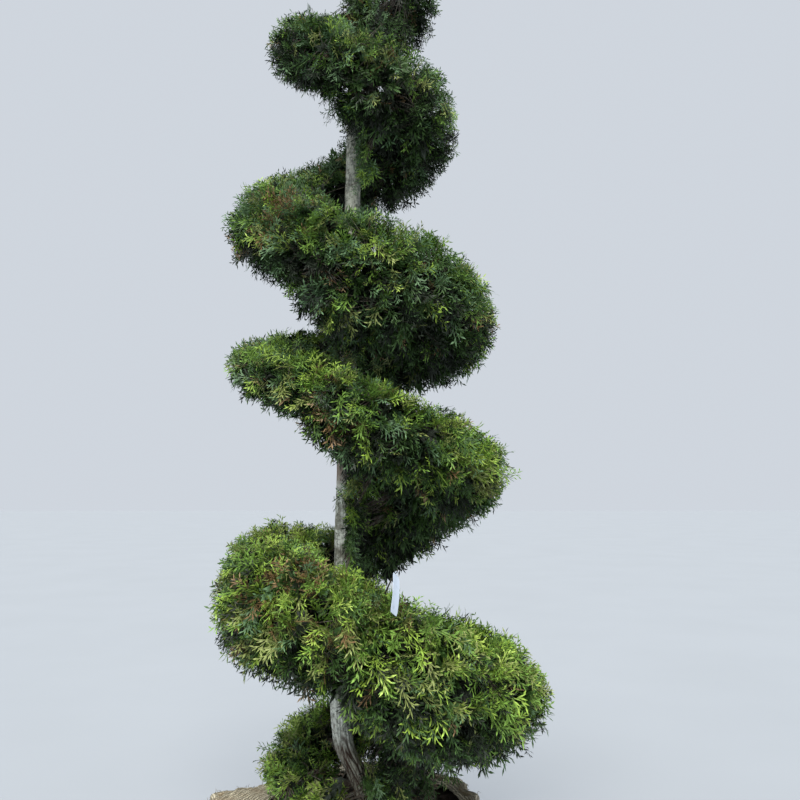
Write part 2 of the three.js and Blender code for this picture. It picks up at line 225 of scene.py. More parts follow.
# Sprigs that hang outside the band's even surface: half turns of their mass, middle, spread,
# how many, where they point, and 1 where they get extra painted light, -1 where they get extra painted shade
LOOSE_SPRIGS = (
    (7.4, (0.045, -0.100, 2.870), (0.022, 0.025, 0.030), 34, (0.1, -0.25, -1.0), 0),
    (7.1, (0.250, -0.040, 2.790), (0.030, 0.050, 0.030), 40, (0.1, -0.3, -1.0), -1),
    (7.5, (0.015, -0.090, 2.910), (0.030, 0.020, 0.030), 40, (-0.1, -0.4, -1.0), 0),
    (8.3, (0.058, -0.120, 3.280), (0.026, 0.020, 0.060), 110, (0.2, -0.6, -0.4), 0),
    (6.9, (0.060, -0.085, 2.740), (0.006, 0.008, 0.045), 24, (-0.1, -0.3, -1.0), 1),
    (5.5, (0.004, -0.080, 2.125), (0.034, 0.015, 0.045), 56, (0.0, -0.3, -1.0), 0),
    (3.5, (0.000, -0.150, 2.020), (0.040, 0.030, 0.018), 24, (-0.3, -0.5, 0.5), 0),
    (3.4, (0.035, -0.095, 1.615), (0.030, 0.010, 0.014), 14, (-0.5, -0.5, -0.6), 1),
    (3.3, (0.032, -0.070, 1.470), (0.008, 0.014, 0.080), 60, (0.1, -0.2, -1.0), 0),
    (3.1, (0.085, 0.040, 1.600), (0.035, 0.045, 0.050), 70, (0.2, -0.6, -0.7), 0),
    (1.6, (0.110, -0.450, 1.255), (0.035, 0.025, 0.030), 44, (0.0, -0.9, 0.4), 0),
    (1.25, (0.150, -0.160, 0.680), (0.055, 0.060, 0.035), 34, (0.1, -0.4, -1.0), -1),
    (1.1, (0.210, 0.000, 0.668), (0.060, 0.050, 0.025), 60, (0.2, -0.3, -1.0), -1),
    (0.0, (-0.130, -0.230, 0.600), (0.060, 0.050, 0.020), 30, (-0.2, -0.7, -0.5), -1),
    (8.6, (0.160, -0.100, 3.230), (0.035, 0.040, 0.035), 50, (0.2, -0.3, -1.0), -1),
)

# Layers of sprigs: shares of the section between which they lie, and how far they hang
CLIPPED_LAYER = ((0.905, 1.0), 0.25)
STRAY_LAYER = ((1.00, 1.04), 0.1)
UNDER_LAYER = ((0.72, 0.85), 0.3)
INNER_LAYER = ((0.42, 0.68), 0.2)
SPRIGS_PER_STRAY = 50
FINE_TEMPLATES = (0, 1, 2, 3, 4)
COARSE_TEMPLATES = (5, 6, 7)
# Fronds of the outer, under and inner sprigs: how many each, spread, length against the first's, templates
LAYER_FRONDS = (
    ((3, 5), 0.38, 1.0, FINE_TEMPLATES),
    ((3, 6), 0.60, 1.3, COARSE_TEMPLATES),
    ((4, 7), 0.80, 1.8, COARSE_TEMPLATES),
)
# Shares: a frond's length against its sprig's, its tilt, and how far an outer or deeper tip may stand proud
FROND_LENGTHS = (0.72, 1.12)
FROND_LEAN = 0.32
FROND_PROUD = (0.12, 0.03)

# Colours of the fronds, which are the names of their pieces too. Sunlit and lime are painted light on the lit
# tops, lime also pale young growth; olive is partly a painted greyish highlight; deep and shade are painted
# shade below, deeper in and inside the band; cool is painted bluish sky light, most on the upper turns
FROND_KINDS = ("lime", "sunlit", "olive", "mid", "cool", "deep", "bronze", "dead", "shade")
# Share of the fronds that take their sprig's kind
KIND_SHARED = 0.48
# What changes each kind's chance, in the same order: painted light and painted shade by place, a sprig's own
# painted light and painted shade, and the painted shade of a deeper layer
LIT = np.array((0.9, 0.9, 0.5, 0.2, 0, -0.8, 0, 0, -0.9))
BRIGHTER = (2, 3, 3, 2, 1, 0.1, 0.1, 0.1, 0)
DARKER = (0, 0.1, 0.4, 1, 1, 1.5, 0.3, 0.3, 1.5)
UNDER = (0.1, 0.3, 0.5, 0.6, 1, 2, 1, 1, 3)
INNER = (0, 0, 0, 0, 0, 0.08, 0, 0.04, 1)

# Where winter bronzed the sprays: middle and reach
BRONZE_PLACES = (
    ((-0.130, -0.350, 1.345), 0.120),
    ((0.020, -0.480, 1.235), 0.045),
    ((-0.200, -0.300, 2.560), 0.080),
)

# Extra painted light, and painted shade where the amount is below 0, beyond what the sprays' height and slope
# give them: middle, reach, how much
LIGHT_PLACES = (
    ((0.430, -0.200, 1.680), 0.150, 1.0),
    ((-0.300, -0.200, 2.020), 0.140, -0.8),
    ((0.140, -0.420, 2.200), 0.170, 0.7),
    ((-0.020, -0.330, 1.860), 0.100, -0.6),
)

# Heights over which the trunk shows from the photograph's side, and how far to each side of its middle
BARE_TRUNK = ((0.53, 0.935), (1.36, 1.575), (1.635, 1.69), (2.60, 2.82))
BARE_SIDE = (-0.060, 0.006)

# Blank label: the middles of its top and bottom edges, and the end of the twig that it hangs from
LABEL_TOP = (0.178, -0.440, 1.362)
LABEL_BOTTOM = (0.172, -0.508, 1.266)
LABEL_TWIG = (0.180, -0.434, 1.370)
LABEL_ACROSS = (0.42, 0.90, 0.10)
LABEL_THICKNESS = 0.0011
# How far sprays keep clear of it: distance, share of its length and steps forward from it
LABEL_CLEARANCE = 0.030
LABEL_SHOWN = 0.74
LABEL_STEPS = (0.0, 0.045, 0.09)
LABEL_TWIG_FOOT = (0.130, -0.300, 1.250)
LABEL_TWIG_RADII = (0.0035, 0.0015)
# Round ends of the label, as shares of its width: how long, and how much narrower
LABEL_END = 0.22
LABEL_END_NARROWING = 0.16
STRAP_RADIUS = 0.0008
STRAP_HALF_WIDTH = 0.004
STRAP_LINKS = 18

# Tip tuft
TIP_BOTTOM = 4.070
TIP_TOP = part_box(TIP_NODE)[1].z
TIP_FRONDS = 210
LEADER_RADII = (0.008, 0.0015)

# The photograph's camera: eye height of a standing person, a usual phone lens, tilted up
CAMERA_PLACE = (0.19, -2.66, 1.60)
CAMERA_TILT = math.radians(6.7)
CAMERA_SENSOR = 36.0
CAMERA_LENS = 34.65

# Studio: each lamp's name, the direction that it shines in, its strength, spread in degrees and colour
LAMPS = (
    ("key", (0.05, 0.75, -1.0), 3.7, 36, (1.0, 0.985, 0.92)),
    ("fill", (1.0, 0.70, -0.45), 0.8, 60, (0.94, 0.97, 1.0)),
)
SURROUND_STRENGTH = 0.80
FLOOR_SIZE = 120

# The most triangles in a piece of fronds, and the start of every random draw
PIECE_TRIANGLES = 180_000
SEED = 11


def amount(name, description, default, least=0):
    return bpy.props.IntProperty(name=name, description=description, default=default, min=least)


def metres(name, description, default):
    return bpy.props.FloatProperty(name=name, description=description, default=default, unit="LENGTH")


def colour(name, description, default):
    return bpy.props.FloatVectorProperty(
        name=name, description=description, default=default, subtype="COLOR", size=3, min=0, max=1
    )


class SpiralSizes(bpy.types.PropertyGroup):
    """Sizes that set how fine and how full the plant is"""

    sprig_count: amount("Sprigs", "Clumps of fronds on the whole band", 5600, 100)
    under_count: amount("Under sprigs", "Coarser sprigs below the clipped surface", 1050)
    inner_count: amount("Inner sprigs", "Dark sprigs inside the band", 700)
    frond_length: metres("Frond length", "Leaf spray on the widest turns", 0.073)
    leaf_width: metres("Leaf width", "Widest place of a scale-leaf branchlet", 0.0044)
    droop: bpy.props.FloatProperty(
        name="Droop", description="How far a frond's tip hangs, as a share of its length", default=0.18,
        subtype="FACTOR", min=0, max=1,
    )
    bark_depth: metres("Bark relief", "Depth of the fissures in the bark", 0.0042)
    fold_depth: metres("Fold depth", "How far the burlap's folds stand out at the rim", 0.020)
    label_width: metres("Label width", "Width of the blank plant label", 0.034)
    label_height: metres("Label height", "Height of the blank plant label", 0.120)


class SpiralColours(bpy.types.PropertyGroup):
    """Plain base colours of the plant and its wrap, several of them holding painted light and painted shade
    """

    lime: colour("Lime", "The brightest young tips", (0.285, 0.385, 0.070))
    sunlit: colour("Sunlit", "Yellow-green leaf tips on the tops", (0.230, 0.350, 0.045))
    olive: colour("Olive", "Greyish olive sprays", (0.185, 0.220, 0.062))
    mid: colour("Mid green", "Most of the outer sprays", (0.122, 0.225, 0.032))
    cool: colour("Cool green", "Bluish sprays on the upper turns", (0.078, 0.145, 0.064))
    deep: colour("Deep green", "Shaded sprays", (0.033, 0.076, 0.014))
    bronze: colour("Bronze", "Winter-bronzed sprays", (0.155, 0.092, 0.038))
    dead: colour("Dead brown", "Dead sprays and litter", (0.185, 0.125, 0.062))
    shade: colour("Inner shade", "Sprays deep inside the band", (0.006, 0.012, 0.004))
    bark: colour("Bark", "Grey weathered bark", (0.275, 0.275, 0.225))
    bark_pale: colour("Pale bark", "Lichen-pale patches of bark", (0.720, 0.750, 0.670))
    fissure: colour("Fissures", "Reddish inner bark in the fissures", (0.090, 0.055, 0.040))
    burlap: colour("Burlap", "Cream jute cloth", (0.760, 0.680, 0.500))
    burlap_stain: colour("Burlap stain", "Earth rubbed into the cloth", (0.330, 0.255, 0.165))
    soil: colour("Soil", "Dark loam", (0.050, 0.036, 0.026))
    # The label's white plastic is darkened and cooled here: painted shade
    label: colour("Label", "White plastic", (0.560, 0.640, 0.760))
    floor: colour("Floor", "Pale studio floor", (0.385, 0.410, 0.445))
    sky: colour("Backdrop", "Pale studio surround", (0.780, 0.835, 0.910))


# Meshes from arrays

def mesh_object(name, points, faces):
    """A new object from an array of points and arrays of faces, each array with its own corner count"""
    mesh = bpy.data.meshes.new(name)
    faces = [np.asarray(group) for group in faces if len(group)]
    corners = np.concatenate([group.ravel() for group in faces])
    totals = np.concatenate([np.full(len(group), group.shape[1]) for group in faces])
    mesh.vertices.add(len(points))
    mesh.vertices.foreach_set("co", np.asarray(points, np.float32).ravel())
    mesh.loops.add(len(corners))
    mesh.loops.foreach_set("vertex_index", corners.astype(np.int32))
    mesh.polygons.add(len(totals))
    starts = np.concatenate([[0], np.cumsum(totals)[:-1]])
    mesh.polygons.foreach_set("loop_start", starts.astype(np.int32))
    mesh.update(calc_edges=True)
    made = bpy.data.objects.new(name, mesh)
    bpy.context.scene.collection.objects.link(made)
    return made


def read_values(collection, attribute, kind, width=1):
    """One value, or a few, of each member of a mesh's collection"""
    values = np.empty(len(collection) * width, kind)
    collection.foreach_get(attribute, values)
    return values


def points_of(piece):
    return read_values(piece.data.vertices, "co", np.float32, 3).reshape(-1, 3).astype(float)


def set_points(piece, points):
    piece.data.vertices.foreach_set("co", np.asarray(points, np.float32).ravel())
    piece.data.update()


def store_values(piece, name, values):
    """Keeps a number at each of the piece's points for its material"""
    store = piece.data.attributes.new(name, "FLOAT", "POINT")
    store.data.foreach_set("value", np.asarray(values, np.float32))


def select_only(piece):
    bpy.ops.object.select_all(action="DESELECT")
    piece.select_set(True)
    bpy.context.view_layer.objects.active = piece


def turned(name, profile, sides):
    """Spins a profile of (radius, height) about +Z into a closed form, in edit mode"""
    mesh = bpy.data.meshes.new(name)
    mesh.from_pydata([(radius, 0, height) for radius, height in profile],
                     [(i, i + 1) for i in range(len(profile) - 1)], [])
    piece = bpy.data.objects.new(name, mesh)
    bpy.context.scene.collection.objects.link(piece)
    select_only(piece)
    bpy.ops.object.mode_set(mode="EDIT")
    bpy.ops.mesh.select_all(action="SELECT")
    bpy.ops.mesh.spin(steps=sides, angle=2 * math.pi, center=(0, 0, 0), axis=(0, 0, 1))
    bpy.ops.mesh.select_all(action="SELECT")
    bpy.ops.mesh.remove_doubles(threshold=1e-5)
    bpy.ops.mesh.normals_make_consistent(inside=False)
    bpy.ops.object.mode_set(mode="OBJECT")
    return piece


def smooth(piece, angle=None):
    select_only(piece)
    if angle is None:
        bpy.ops.object.shade_smooth()
    else:
        bpy.ops.object.shade_smooth_by_angle(angle=math.radians(angle))
    piece.select_set(False)


def turned_piece(name, profile, sides, shape, depth):
    """A turned form whose points the shape function then moves, shaded smooth"""
    piece = turned(name, profile, sides)
    shape(piece, depth)
    smooth(piece)
    return piece


def settle(piece, material, nodes=()):
    """Gives a finished piece its material, its body and the solids that it stands for"""
    piece.data.materials.clear()
    piece.data.materials.append(material)
    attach(piece, BODY)
    if nodes:
        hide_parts(*nodes)
    return piece


def field(points, frequency, seed):
    """Smooth noise at each point, about -1 to 1: frequency is one number or one for each axis"""
    places = np.asarray(points) * np.asarray(frequency) + seed * 7.31
    return np.array([noise.noise(place) for place in places.tolist()])


def share_between(values, low, high):
    """Values as a smooth share from 0 at low to 1 at high"""
    part = np.clip((np.asarray(values) - low) / (high - low), 0, 1)
    return part * part * (3 - 2 * part)


def unit(vectors):
    return vectors / np.maximum(np.linalg.norm(vectors, axis=-1, keepdims=True), 1e-9)


def level_unit(vectors):
    return unit(vectors * [1, 1, 0])


def square_to(along, vectors):
    """The vectors turned square to along"""
    return unit(vectors - along * (vectors * along).sum(-1, keepdims=True))


def bearing(points):
    """Each point's angle round +Z"""
    return np.arctan2(points[:, 1], points[:, 0])


def from_axis(points):
    """Each point's distance from the Z axis"""
    return np.hypot(points[:, 0], points[:, 1])


def round_axis(radius, angle, height):
    """Points at a distance and an angle round the Z axis, and at a height"""
    return np.stack(np.broadcast_arrays(radius * np.cos(angle), radius * np.sin(angle), height), -1)


def nearness(places, middle, reach):
    """1 at the middle, fading with the distance from it"""
    return np.exp(-((places - middle) ** 2).sum(axis=1) / reach**2)


def turned_apart(angles, middle):
    """How far round each angle lies from the middle one, -pi to pi"""
    return (angles - middle + math.pi) % (2 * math.pi) - math.pi


# The plant's rule: the same trunk and band as the solids

def curve_through(rows, places):
    """A cubic curve through rows of (place, values...) whose slope at a row is its neighbours' mean"""
    rows = np.array(rows, float)
    at, values = rows[:, 0], rows[:, 1:]
    steps = np.diff(at)
    slopes = np.diff(values, axis=0) / steps[:, None]
    knots = np.vstack([slopes[:1], (slopes[1:] + slopes[:-1]) / 2, slopes[-1:]])
    places = np.clip(places, at[0], at[-1])
    i = np.clip(np.searchsorted(at, places) - 1, 0, len(steps) - 1)
    step = steps[i][:, None]
    p = (places - at[i])[:, None] / step
    return (
        values[i] * (1 - 3 * p**2 + 2 * p**3)
        + values[i + 1] * (3 * p**2 - 2 * p**3)
        + knots[i] * step * (p - 2 * p**2 + p**3)
        + knots[i + 1] * step * (p**3 - p**2)
    )


def trunk_middle(heights):
    return curve_through(TRUNK_LEAN, np.atleast_1d(heights))[:, 0]


def on_trunk(heights):
    """Points on the trunk's middle line"""
    return np.stack([trunk_middle(heights), np.zeros(len(heights)), heights], -1)


def trunk_radius(heights):
    heights = np.atleast_1d(heights)
    up = np.clip((heights - TRUNK_FOOT) / (TRUNK_TOP - TRUNK_FOOT), 0, 1)
    flare = ROOT_FLARE * np.exp(-(heights - TRUNK_FOOT) / ROOT_FLARE_HEIGHT)
    return TRUNK_LOW_RADIUS + (TRUNK_TIP_RADIUS - TRUNK_LOW_RADIUS) * up**TRUNK_TAPER_POWER + flare


def end_size(turns):
    """Share of its full section that the band has at its rounded lower end"""
    inwards = np.clip((turns - BAND_START) / END_ROUNDING, 0, 1)
    return np.maximum(END_SMALLEST, np.sqrt(1 - (1 - inwards) ** 2))


def squared(values):
    """Turns a sine or cosine into that of a squarish section"""
    return np.sign(values) * np.abs(values) ** (2 / BAND_SQUARENESS)


def band_section(turns):
    """The section's height, its middle's distance from the trunk, and half its width and height"""
    height, reach, half_height = curve_through(BAND, turns).T
    inner = BAND_INNER_EDGE * trunk_radius(height)
    grown = end_size(turns)
    return height, (reach + inner) / 2, (reach - inner) / 2 * grown, half_height * grown


def band_point(turns, around, size):
    """Points of the band: half turns along it, angle round its section, share of its full size"""
    turns = np.atleast_1d(turns).astype(float)
    height, middle, half_width, half_height = band_section(turns)
    radius = middle + half_width * size * squared(np.cos(around))
    points = round_axis(radius, math.pi * (1 - turns), height + half_height * size * squared(np.sin(around)))
    points[:, 0] += trunk_middle(height)
    return points


def even_places(rng, count):
    """Half turns and angles spread evenly over the band's surface, off the side at the trunk"""
    turns = np.linspace(BAND_START, BAND_END, 400)
    angles = np.linspace(0, 2 * math.pi, 73)
    grid = band_point(np.repeat(turns, len(angles)), np.tile(angles, len(turns)), 1)
    grid = grid.reshape(len(turns), len(angles), 3)
    along = grid[1:, :-1] - grid[:-1, :-1]
    across = grid[:-1, 1:] - grid[:-1, :-1]
    area = np.linalg.norm(np.cross(along, across), axis=-1)
    area[:, np.cos(angles[:-1] + angles[1] / 2) < TRUNK_SIDE_LIMIT] = 0
    chances = (area / area.sum()).ravel()
    cell = rng.choice(len(chances), size=count, p=chances)
    row, column = np.divmod(cell, area.shape[1])
    return (
        turns[row] + rng.random(count) * (turns[1] - turns[0]),
        angles[column] + rng.random(count) * angles[1],
    )


def clear_of_trunk(points, margin):
    apart = np.hypot(points[:, 0] - trunk_middle(points[:, 2]), points[:, 1])
    high = (points[:, 2] < TRUNK_FOOT) | (points[:, 2] > TRUNK_TOP)
    return high | (apart > trunk_radius(points[:, 2]) + margin)


# Leaf sprays

def frond_template(rng, leaf_share, side_branches, leaflets):
    """A flat fan, one unit long, of branchlets set with scale leaves. Each is one kite of four corners,
    and a corner is its place and how young its leaves are, which also sets painted shade at the base and a
    painted highlight at the tip"""
    kites = []

    def kite(start, heading, length, width, young, tilt=0.0):
        out = np.array([math.cos(heading), math.sin(heading), 0])
        side = np.array([-out[1] * math.cos(tilt), out[0] * math.cos(tilt), math.sin(tilt)])
        rise = np.array([0, 0, 1]) * length * rng.uniform(-0.25, 0.25)
        middle = start + (out * length + rise * 0.4) * 0.45
        corners = [start, middle - side * width / 2, start + out * length + rise, middle + side * width / 2]
        youth_and_light = (young[0], sum(young) / 2, young[1], sum(young) / 2)
        kites.append([(*corner, age) for corner, age in zip(corners, youth_and_light)])
        return out * length + rise

    kite(np.zeros(3), 0, 1.0, leaf_share * 0.7, (0.0, 1.0))
    for i in range(side_branches):
        share = (i + 0.9) / (side_branches + 0.6)
        sign = 1 if i % 2 else -1
        start = np.array([share, 0, 0])
        length = 0.44 * math.sin(math.pi * (0.30 + 0.62 * share)) ** 0.7 * rng.uniform(0.8, 1.15)
        heading = sign * math.radians(rng.uniform(34, 52) - 10 * share)
        width = leaf_share * (0.8 if leaflets > 1 else 1.3)
        young = (0.1 + 0.2 * share, 0.75 + 0.25 * share)
        run = kite(start, heading, length, width, young, rng.uniform(-0.25, 0.25))
        for j in range(leaflets):
            part = 0.20 + 0.52 * j / max(leaflets - 1, 1)
            turn = heading + sign * (1 if j % 2 else -1) * math.radians(rng.uniform(20, 34))
            reach = rng.uniform(0.21, 0.31) * (1.15 - 0.4 * part)
            young = (0.2 + 0.3 * share, 0.6 + 0.4 * share)
            kite(start + run * part, turn, reach, leaf_share, young, rng.uniform(-0.4, 0.4))
    return np.array(kites).reshape(-1, 4)


def place_fronds(template, fronds):
    """The template's corners at every frond: bent along its length and drooping at its tip"""
    out, aside, up, _ = template.T
    length = fronds["length"][:, None, None]
    bend = fronds["curl"][:, None] * out[None] ** 2 + up[None]
    points = (
        fronds["root"][:, None]
        + fronds["along"][:, None] * (length * out[None, :, None])
        + fronds["across"][:, None] * (length * aside[None, :, None])
        + fronds["face"][:, None] * (length * bend[:, :, None])
    )
    points[:, :, 2] -= (fronds["droop"] * fronds["length"])[:, None] * np.abs(out)[None] ** 2
    return points.reshape(-1, 3)


def frond_mesh(name, templates, fronds):
    """One joined mesh of fronds"""
    points, youth_and_light, kinds = [], [], fronds["template"]
    for i, template in enumerate(templates):
        chosen = picked(fronds, kinds == i)
        points.append(place_fronds(template, chosen))
        youth_and_light.append(np.tile(template[:, 3], len(chosen["root"])))
    points = np.concatenate(points)
    made = mesh_object(name, points, [np.arange(len(points)).reshape(-1, 4)])
    store_values(made, "young", np.concatenate(youth_and_light))
    return made


def band_size(places, turns):
    """The share of the band's full section at which each place lies, on the turn nearest the given one"""
    aside = places[:, 0] - trunk_middle(places[:, 2])
    own = 1 - np.arctan2(places[:, 1], aside) / math.pi
    own += 2 * np.round((turns - own) / 2)
    height, middle, half_width, half_height = band_section(own)
    across = np.abs(np.hypot(aside, places[:, 1]) - middle) / half_width
    upward = np.abs(places[:, 2] - height) / half_height
    return (across**BAND_SQUARENESS + upward**BAND_SQUARENESS) ** (1 / BAND_SQUARENESS)


def sprig_scale(turns, unevenness):
    """The sprigs' size along the band: smaller where it is narrow"""
    return (curve_through(BAND, turns)[:, 1] / REACH_FULL_SIZE) ** SHRINK_POWER * unevenness


def surface_sprigs(rng, count, size_range, hang, layer):
    """Sprigs spread evenly over the band's surface, which is a little lumpy. Their tips are clipped"""
    turns, around = even_places(rng, count)
    base = band_point(turns, around, 1)
    outwards = unit(base - band_point(turns, around, 0.5))
    lumps = 1 + LUMP * field(base, LUMP_FINENESS, 21) + TUFT * field(base, TUFT_FINENESS, 22)
    section = np.linalg.norm(base - band_point(turns, around, 0), axis=1)
    under = share_between(-outwards[:, 2], 0.2, 0.8)
    away = (outwards * level_unit(base - on_trunk(base[:, 2]))).sum(axis=1)
    trim = LOW_END_TRIM * (1 - share_between(turns, 0.55, 0.85))
    for middle, spread, side, share in CUTS:
        faces = (away * side[0] + outwards[:, 2] * side[1]) / math.hypot(*side)
        trim += share * np.exp(-(((turns - middle) / spread) ** 2)) * share_between(faces, 0.2, 0.8)
    shift = TIPS_UP * outwards[:, 2] / section - trim
    depth = rng.uniform(*size_range, count)
    sizes = depth + shift
    slope = np.array([0, 0, -1.0]) + outwards * outwards[:, 2:]
    heading = outwards + slope * (hang * rng.uniform(-0.5, 1.5, count))[:, None]
    return {
        "turn": turns,
        "tip": band_point(turns, around, sizes * lumps),
        "outwards": outwards,
        "heading": unit(unit(heading) + rng.normal(0, 0.36, (count, 3))),
        "size": depth,
        "limit": lumps * (sizes + 0.020 + 0.03 * under * rng.random(count)),
        "section": section,
        "scale": sprig_scale(turns, rng.uniform(0.85, 1.15, count)),
        "layer": np.full(count, layer),
        "painted_lighting": np.zeros(count, int),
    }


def loose_sprigs(rng, turn, middle, spread, count, heading, painted_lighting):
    """Unclipped sprigs round one place, all pointing about one way"""
    turns = np.full(count, turn)
    pointing = unit(unit(np.array([heading])) + rng.normal(0, 0.35, (count, 3)))
    return {
        "turn": turns,
        "tip": np.array(middle) + rng.normal(0, 1, (count, 3)) * spread,
        "outwards": unit(pointing + [0, 0, 0.6]),
        "heading": pointing,
        "size": np.full(count, 0.9),
        "limit": np.full(count, 9.0),
        "section": np.zeros(count),
        "scale": sprig_scale(turns, rng.uniform(0.7, 1.0, count)),
        "layer": np.full(count, 0),
        "painted_lighting": np.full(count, painted_lighting),
    }


def joined(groups):
    """One group of arrays from several"""
    return {key: np.concatenate([group[key] for group in groups]) for key in groups[0]}


def picked(arrays, chosen):
    """The chosen members of a group of arrays"""
    return {key: value[chosen] for key, value in arrays.items()}


def fronds_of(rng, sprigs, fronds_each, spread, length, droop, templates):
    """Each sprig's fronds, fanned out from its hub. Those that would touch the trunk, stand too proud,
    or hide the label or a bare stretch of the trunk are skipped"""
    count = len(sprigs["turn"])
    sprigs["hub"] = sprigs["tip"] - sprigs["heading"] * (sprigs["scale"] * length * 0.9)[:, None]
    sprigs["plane"] = unit(np.cross(sprigs["heading"], rng.normal(0, 1, (count, 3))))
    owner = np.repeat(np.arange(count), rng.integers(*fronds_each, count))
    own = picked(sprigs, owner)
    number = len(owner)
    along = unit(own["heading"] + rng.normal(0, spread, (number, 3)))
    lean = own["plane"] + rng.normal(0, FROND_LEAN, (number, 3))
    across = unit(np.cross(along, lean))
    face = np.cross(across, along)
    flip = np.sign((face * own["outwards"]).sum(-1, keepdims=True) + 1e-9)
    lengths = length * own["scale"] * rng.uniform(*FROND_LENGTHS, number)
    run = along * lengths[:, None]
    root = own["hub"] + rng.normal(0, 0.009, (number, 3))
    limit = own["limit"] * rng.uniform(0.97, 1.02, number)
    excess = np.clip(band_size(root + run, own["turn"]) - limit, 0, 0.4)
    root -= own["outwards"] * (excess * own["section"])[:, None]
    tip = root + run
    deeper = (own["layer"] > 0).astype(int)
    proud = band_size(tip, own["turn"]) - limit > np.array(FROND_PROUD)[deeper]
    fronds = {
        "sprig": owner,
        "turn": own["turn"],
        "root": root,
        "along": along,
        "across": across * flip,
        "face": face * flip,
        "length": lengths,
        "curl": rng.uniform(-0.22, 0.10, number),
        "droop": droop * rng.uniform(-0.2, 1.6, number),
        "template": rng.choice(templates, number),
    }
    middle = root + run * 0.5
    clear = ~proud
    for place, margin in zip((root, middle, tip), FROND_CLEARANCES):
        clear &= clear_of_trunk(place, margin)
    for place in (middle, tip):
        clear &= ~(before_bare_trunk(place) | over_label(place))
    return picked(fronds, clear)


def before_bare_trunk(places):
    """Whether each place would hide a stretch of trunk that the photograph shows bare"""
    eye = np.array(CAMERA_PLACE)
    share = eye[1] / np.minimum(eye[1] - places[:, 1], -0.1)
    seen = eye + (places - eye) * share[:, None]
    aside = seen[:, 0] - trunk_middle(seen[:, 2])
    before = (places[:, 1] < 0.02) & (aside > BARE_SIDE[0]) & (aside < BARE_SIDE[1])
    low, high = np.array(BARE_TRUNK).T
    return before & ((seen[:, 2:] > low) & (seen[:, 2:] < high)).any(axis=1)


def over_label(places):
    """Whether each place would hide the label"""
    top, bottom = np.array(LABEL_TOP), np.array(LABEL_BOTTOM)
    run = bottom - top
    near = np.zeros(len(places), bool)
    for step in LABEL_STEPS:
        start = top + np.array([0, -1, 0.1]) * step
        share = np.clip((places - start) @ run / (run @ run), 0.0, LABEL_SHOWN)
        near |= np.linalg.norm(places - start - run * share[:, None], axis=1) < LABEL_CLEARANCE
    return near


@functools.lru_cache(maxsize=1)
def grown_plant(sprig_count, under_count, inner_count, length, droop):
    """The band's sprigs and fronds: the clipped surface, stray tips, coarser sprigs below and inner shade"""
    rng = np.random.default_rng(SEED)
    outer = [
        surface_sprigs(rng, sprig_count, *CLIPPED_LAYER, 0),
        surface_sprigs(rng, sprig_count // SPRIGS_PER_STRAY, *STRAY_LAYER, 0),
        *[loose_sprigs(rng, *row) for row in LOOSE_SPRIGS],
    ]
    deeper = [
        surface_sprigs(rng, under_count, *UNDER_LAYER, 1),
        surface_sprigs(rng, inner_count, *INNER_LAYER, 2),
    ]
    sprigs = [joined(outer), *[picked(group, group["turn"] < BAND_END - INNER_END) for group in deeper]]
    fronds = [
        fronds_of(rng, group, each, spread, longer * length, droop, templates)
        for group, (each, spread, longer, templates) in zip(sprigs, LAYER_FRONDS)
    ]
    starts = np.cumsum([0] + [len(group["turn"]) for group in sprigs])
    for group, start in zip(fronds, starts):
        group["sprig"] = group["sprig"] + start
    return joined(sprigs), joined(fronds)


def kind_chances(places, up, size, layer, painted_lighting):
    """Chances of each kind: painted light on the tops, painted shade below, deeper in, inside and on the
    upper turns, bronze and dead in patches
    """
    # The upper turns and the sprigs deeper in the band get painted shade
    low = 1 - share_between(places[:, 2], 1.0, 3.0)
    out = share_between(size, 0.76, 0.92)
    patch = share_between(field(places, 5.0, 1) + 0.6 * field(places, 11.0, 2), -0.5, 0.5)
    warm = field(places, 3.1, 3) + 0.5 * field(places, 8.0, 4)
    foot = (1 - share_between(places[:, 2], 0.72, 0.95)) * (1 - share_between(places[:, 0], 0.0, 0.15))
    burnt = sum(nearness(places, *row) for row in BRONZE_PLACES)
    burnt = 1.6 * burnt * share_between(patch, 0.1, 0.7)
    # Painted light on the upward faces, painted shade on the undersides, and less painted shade at the foot
    top = np.maximum(share_between(up, -0.30, 0.75), 0.3 * foot)
    under = share_between(0.08 - up - 0.15 * (low - 1), 0.0, 0.60) * (1 - 0.8 * foot)
    chances = {
        "lime": (0.03 + 0.20 * top * patch) * (0.10 + 0.90 * low) * out,
        "sunlit": (0.14 + 0.75 * top * patch) * (0.36 + 0.70 * low) * out,
        "olive": (0.34 + 0.45 * share_between(warm, -0.1, 0.5)) * (0.30 + 0.70 * low) * (1 - 0.8 * under),
        "mid": 0.80 * (1 - 0.8 * under) * (0.35 + 0.65 * out) * (0.5 + 0.5 * low),
        "cool": 0.12 + 0.55 * (1 - low) * (1 - 0.6 * under),
        "deep": 0.32 + 0.8 * under + 0.5 * (1 - out) + 0.35 * (1 - low),
        "bronze": 0.020 + (0.50 * share_between(warm, 0.50, 0.85) + burnt) * (1 - under),
        "dead": 0.020 + 0.25 * share_between(-warm, 0.50, 0.85),
        "shade": 0.08 + 1.9 * under * (1 - low * 0.4) + 0.5 * (1 - out),
    }
    weights = np.stack([chances[name] for name in FROND_KINDS], -1)
    # Extra painted light and painted shade by place, by a sprig's own setting (1 lighter, -1 darker) and in
    # the deeper layers
    light = sum(change * nearness(places, middle, reach) for middle, reach, change in LIGHT_PLACES)
    weights *= np.exp(light[:, None] * LIT)
    weights[painted_lighting > 0] *= BRIGHTER
    weights[painted_lighting < 0] *= DARKER
    weights[layer == 1] *= UNDER
    weights[layer == 2] = INNER
    return np.cumsum(weights, axis=1)


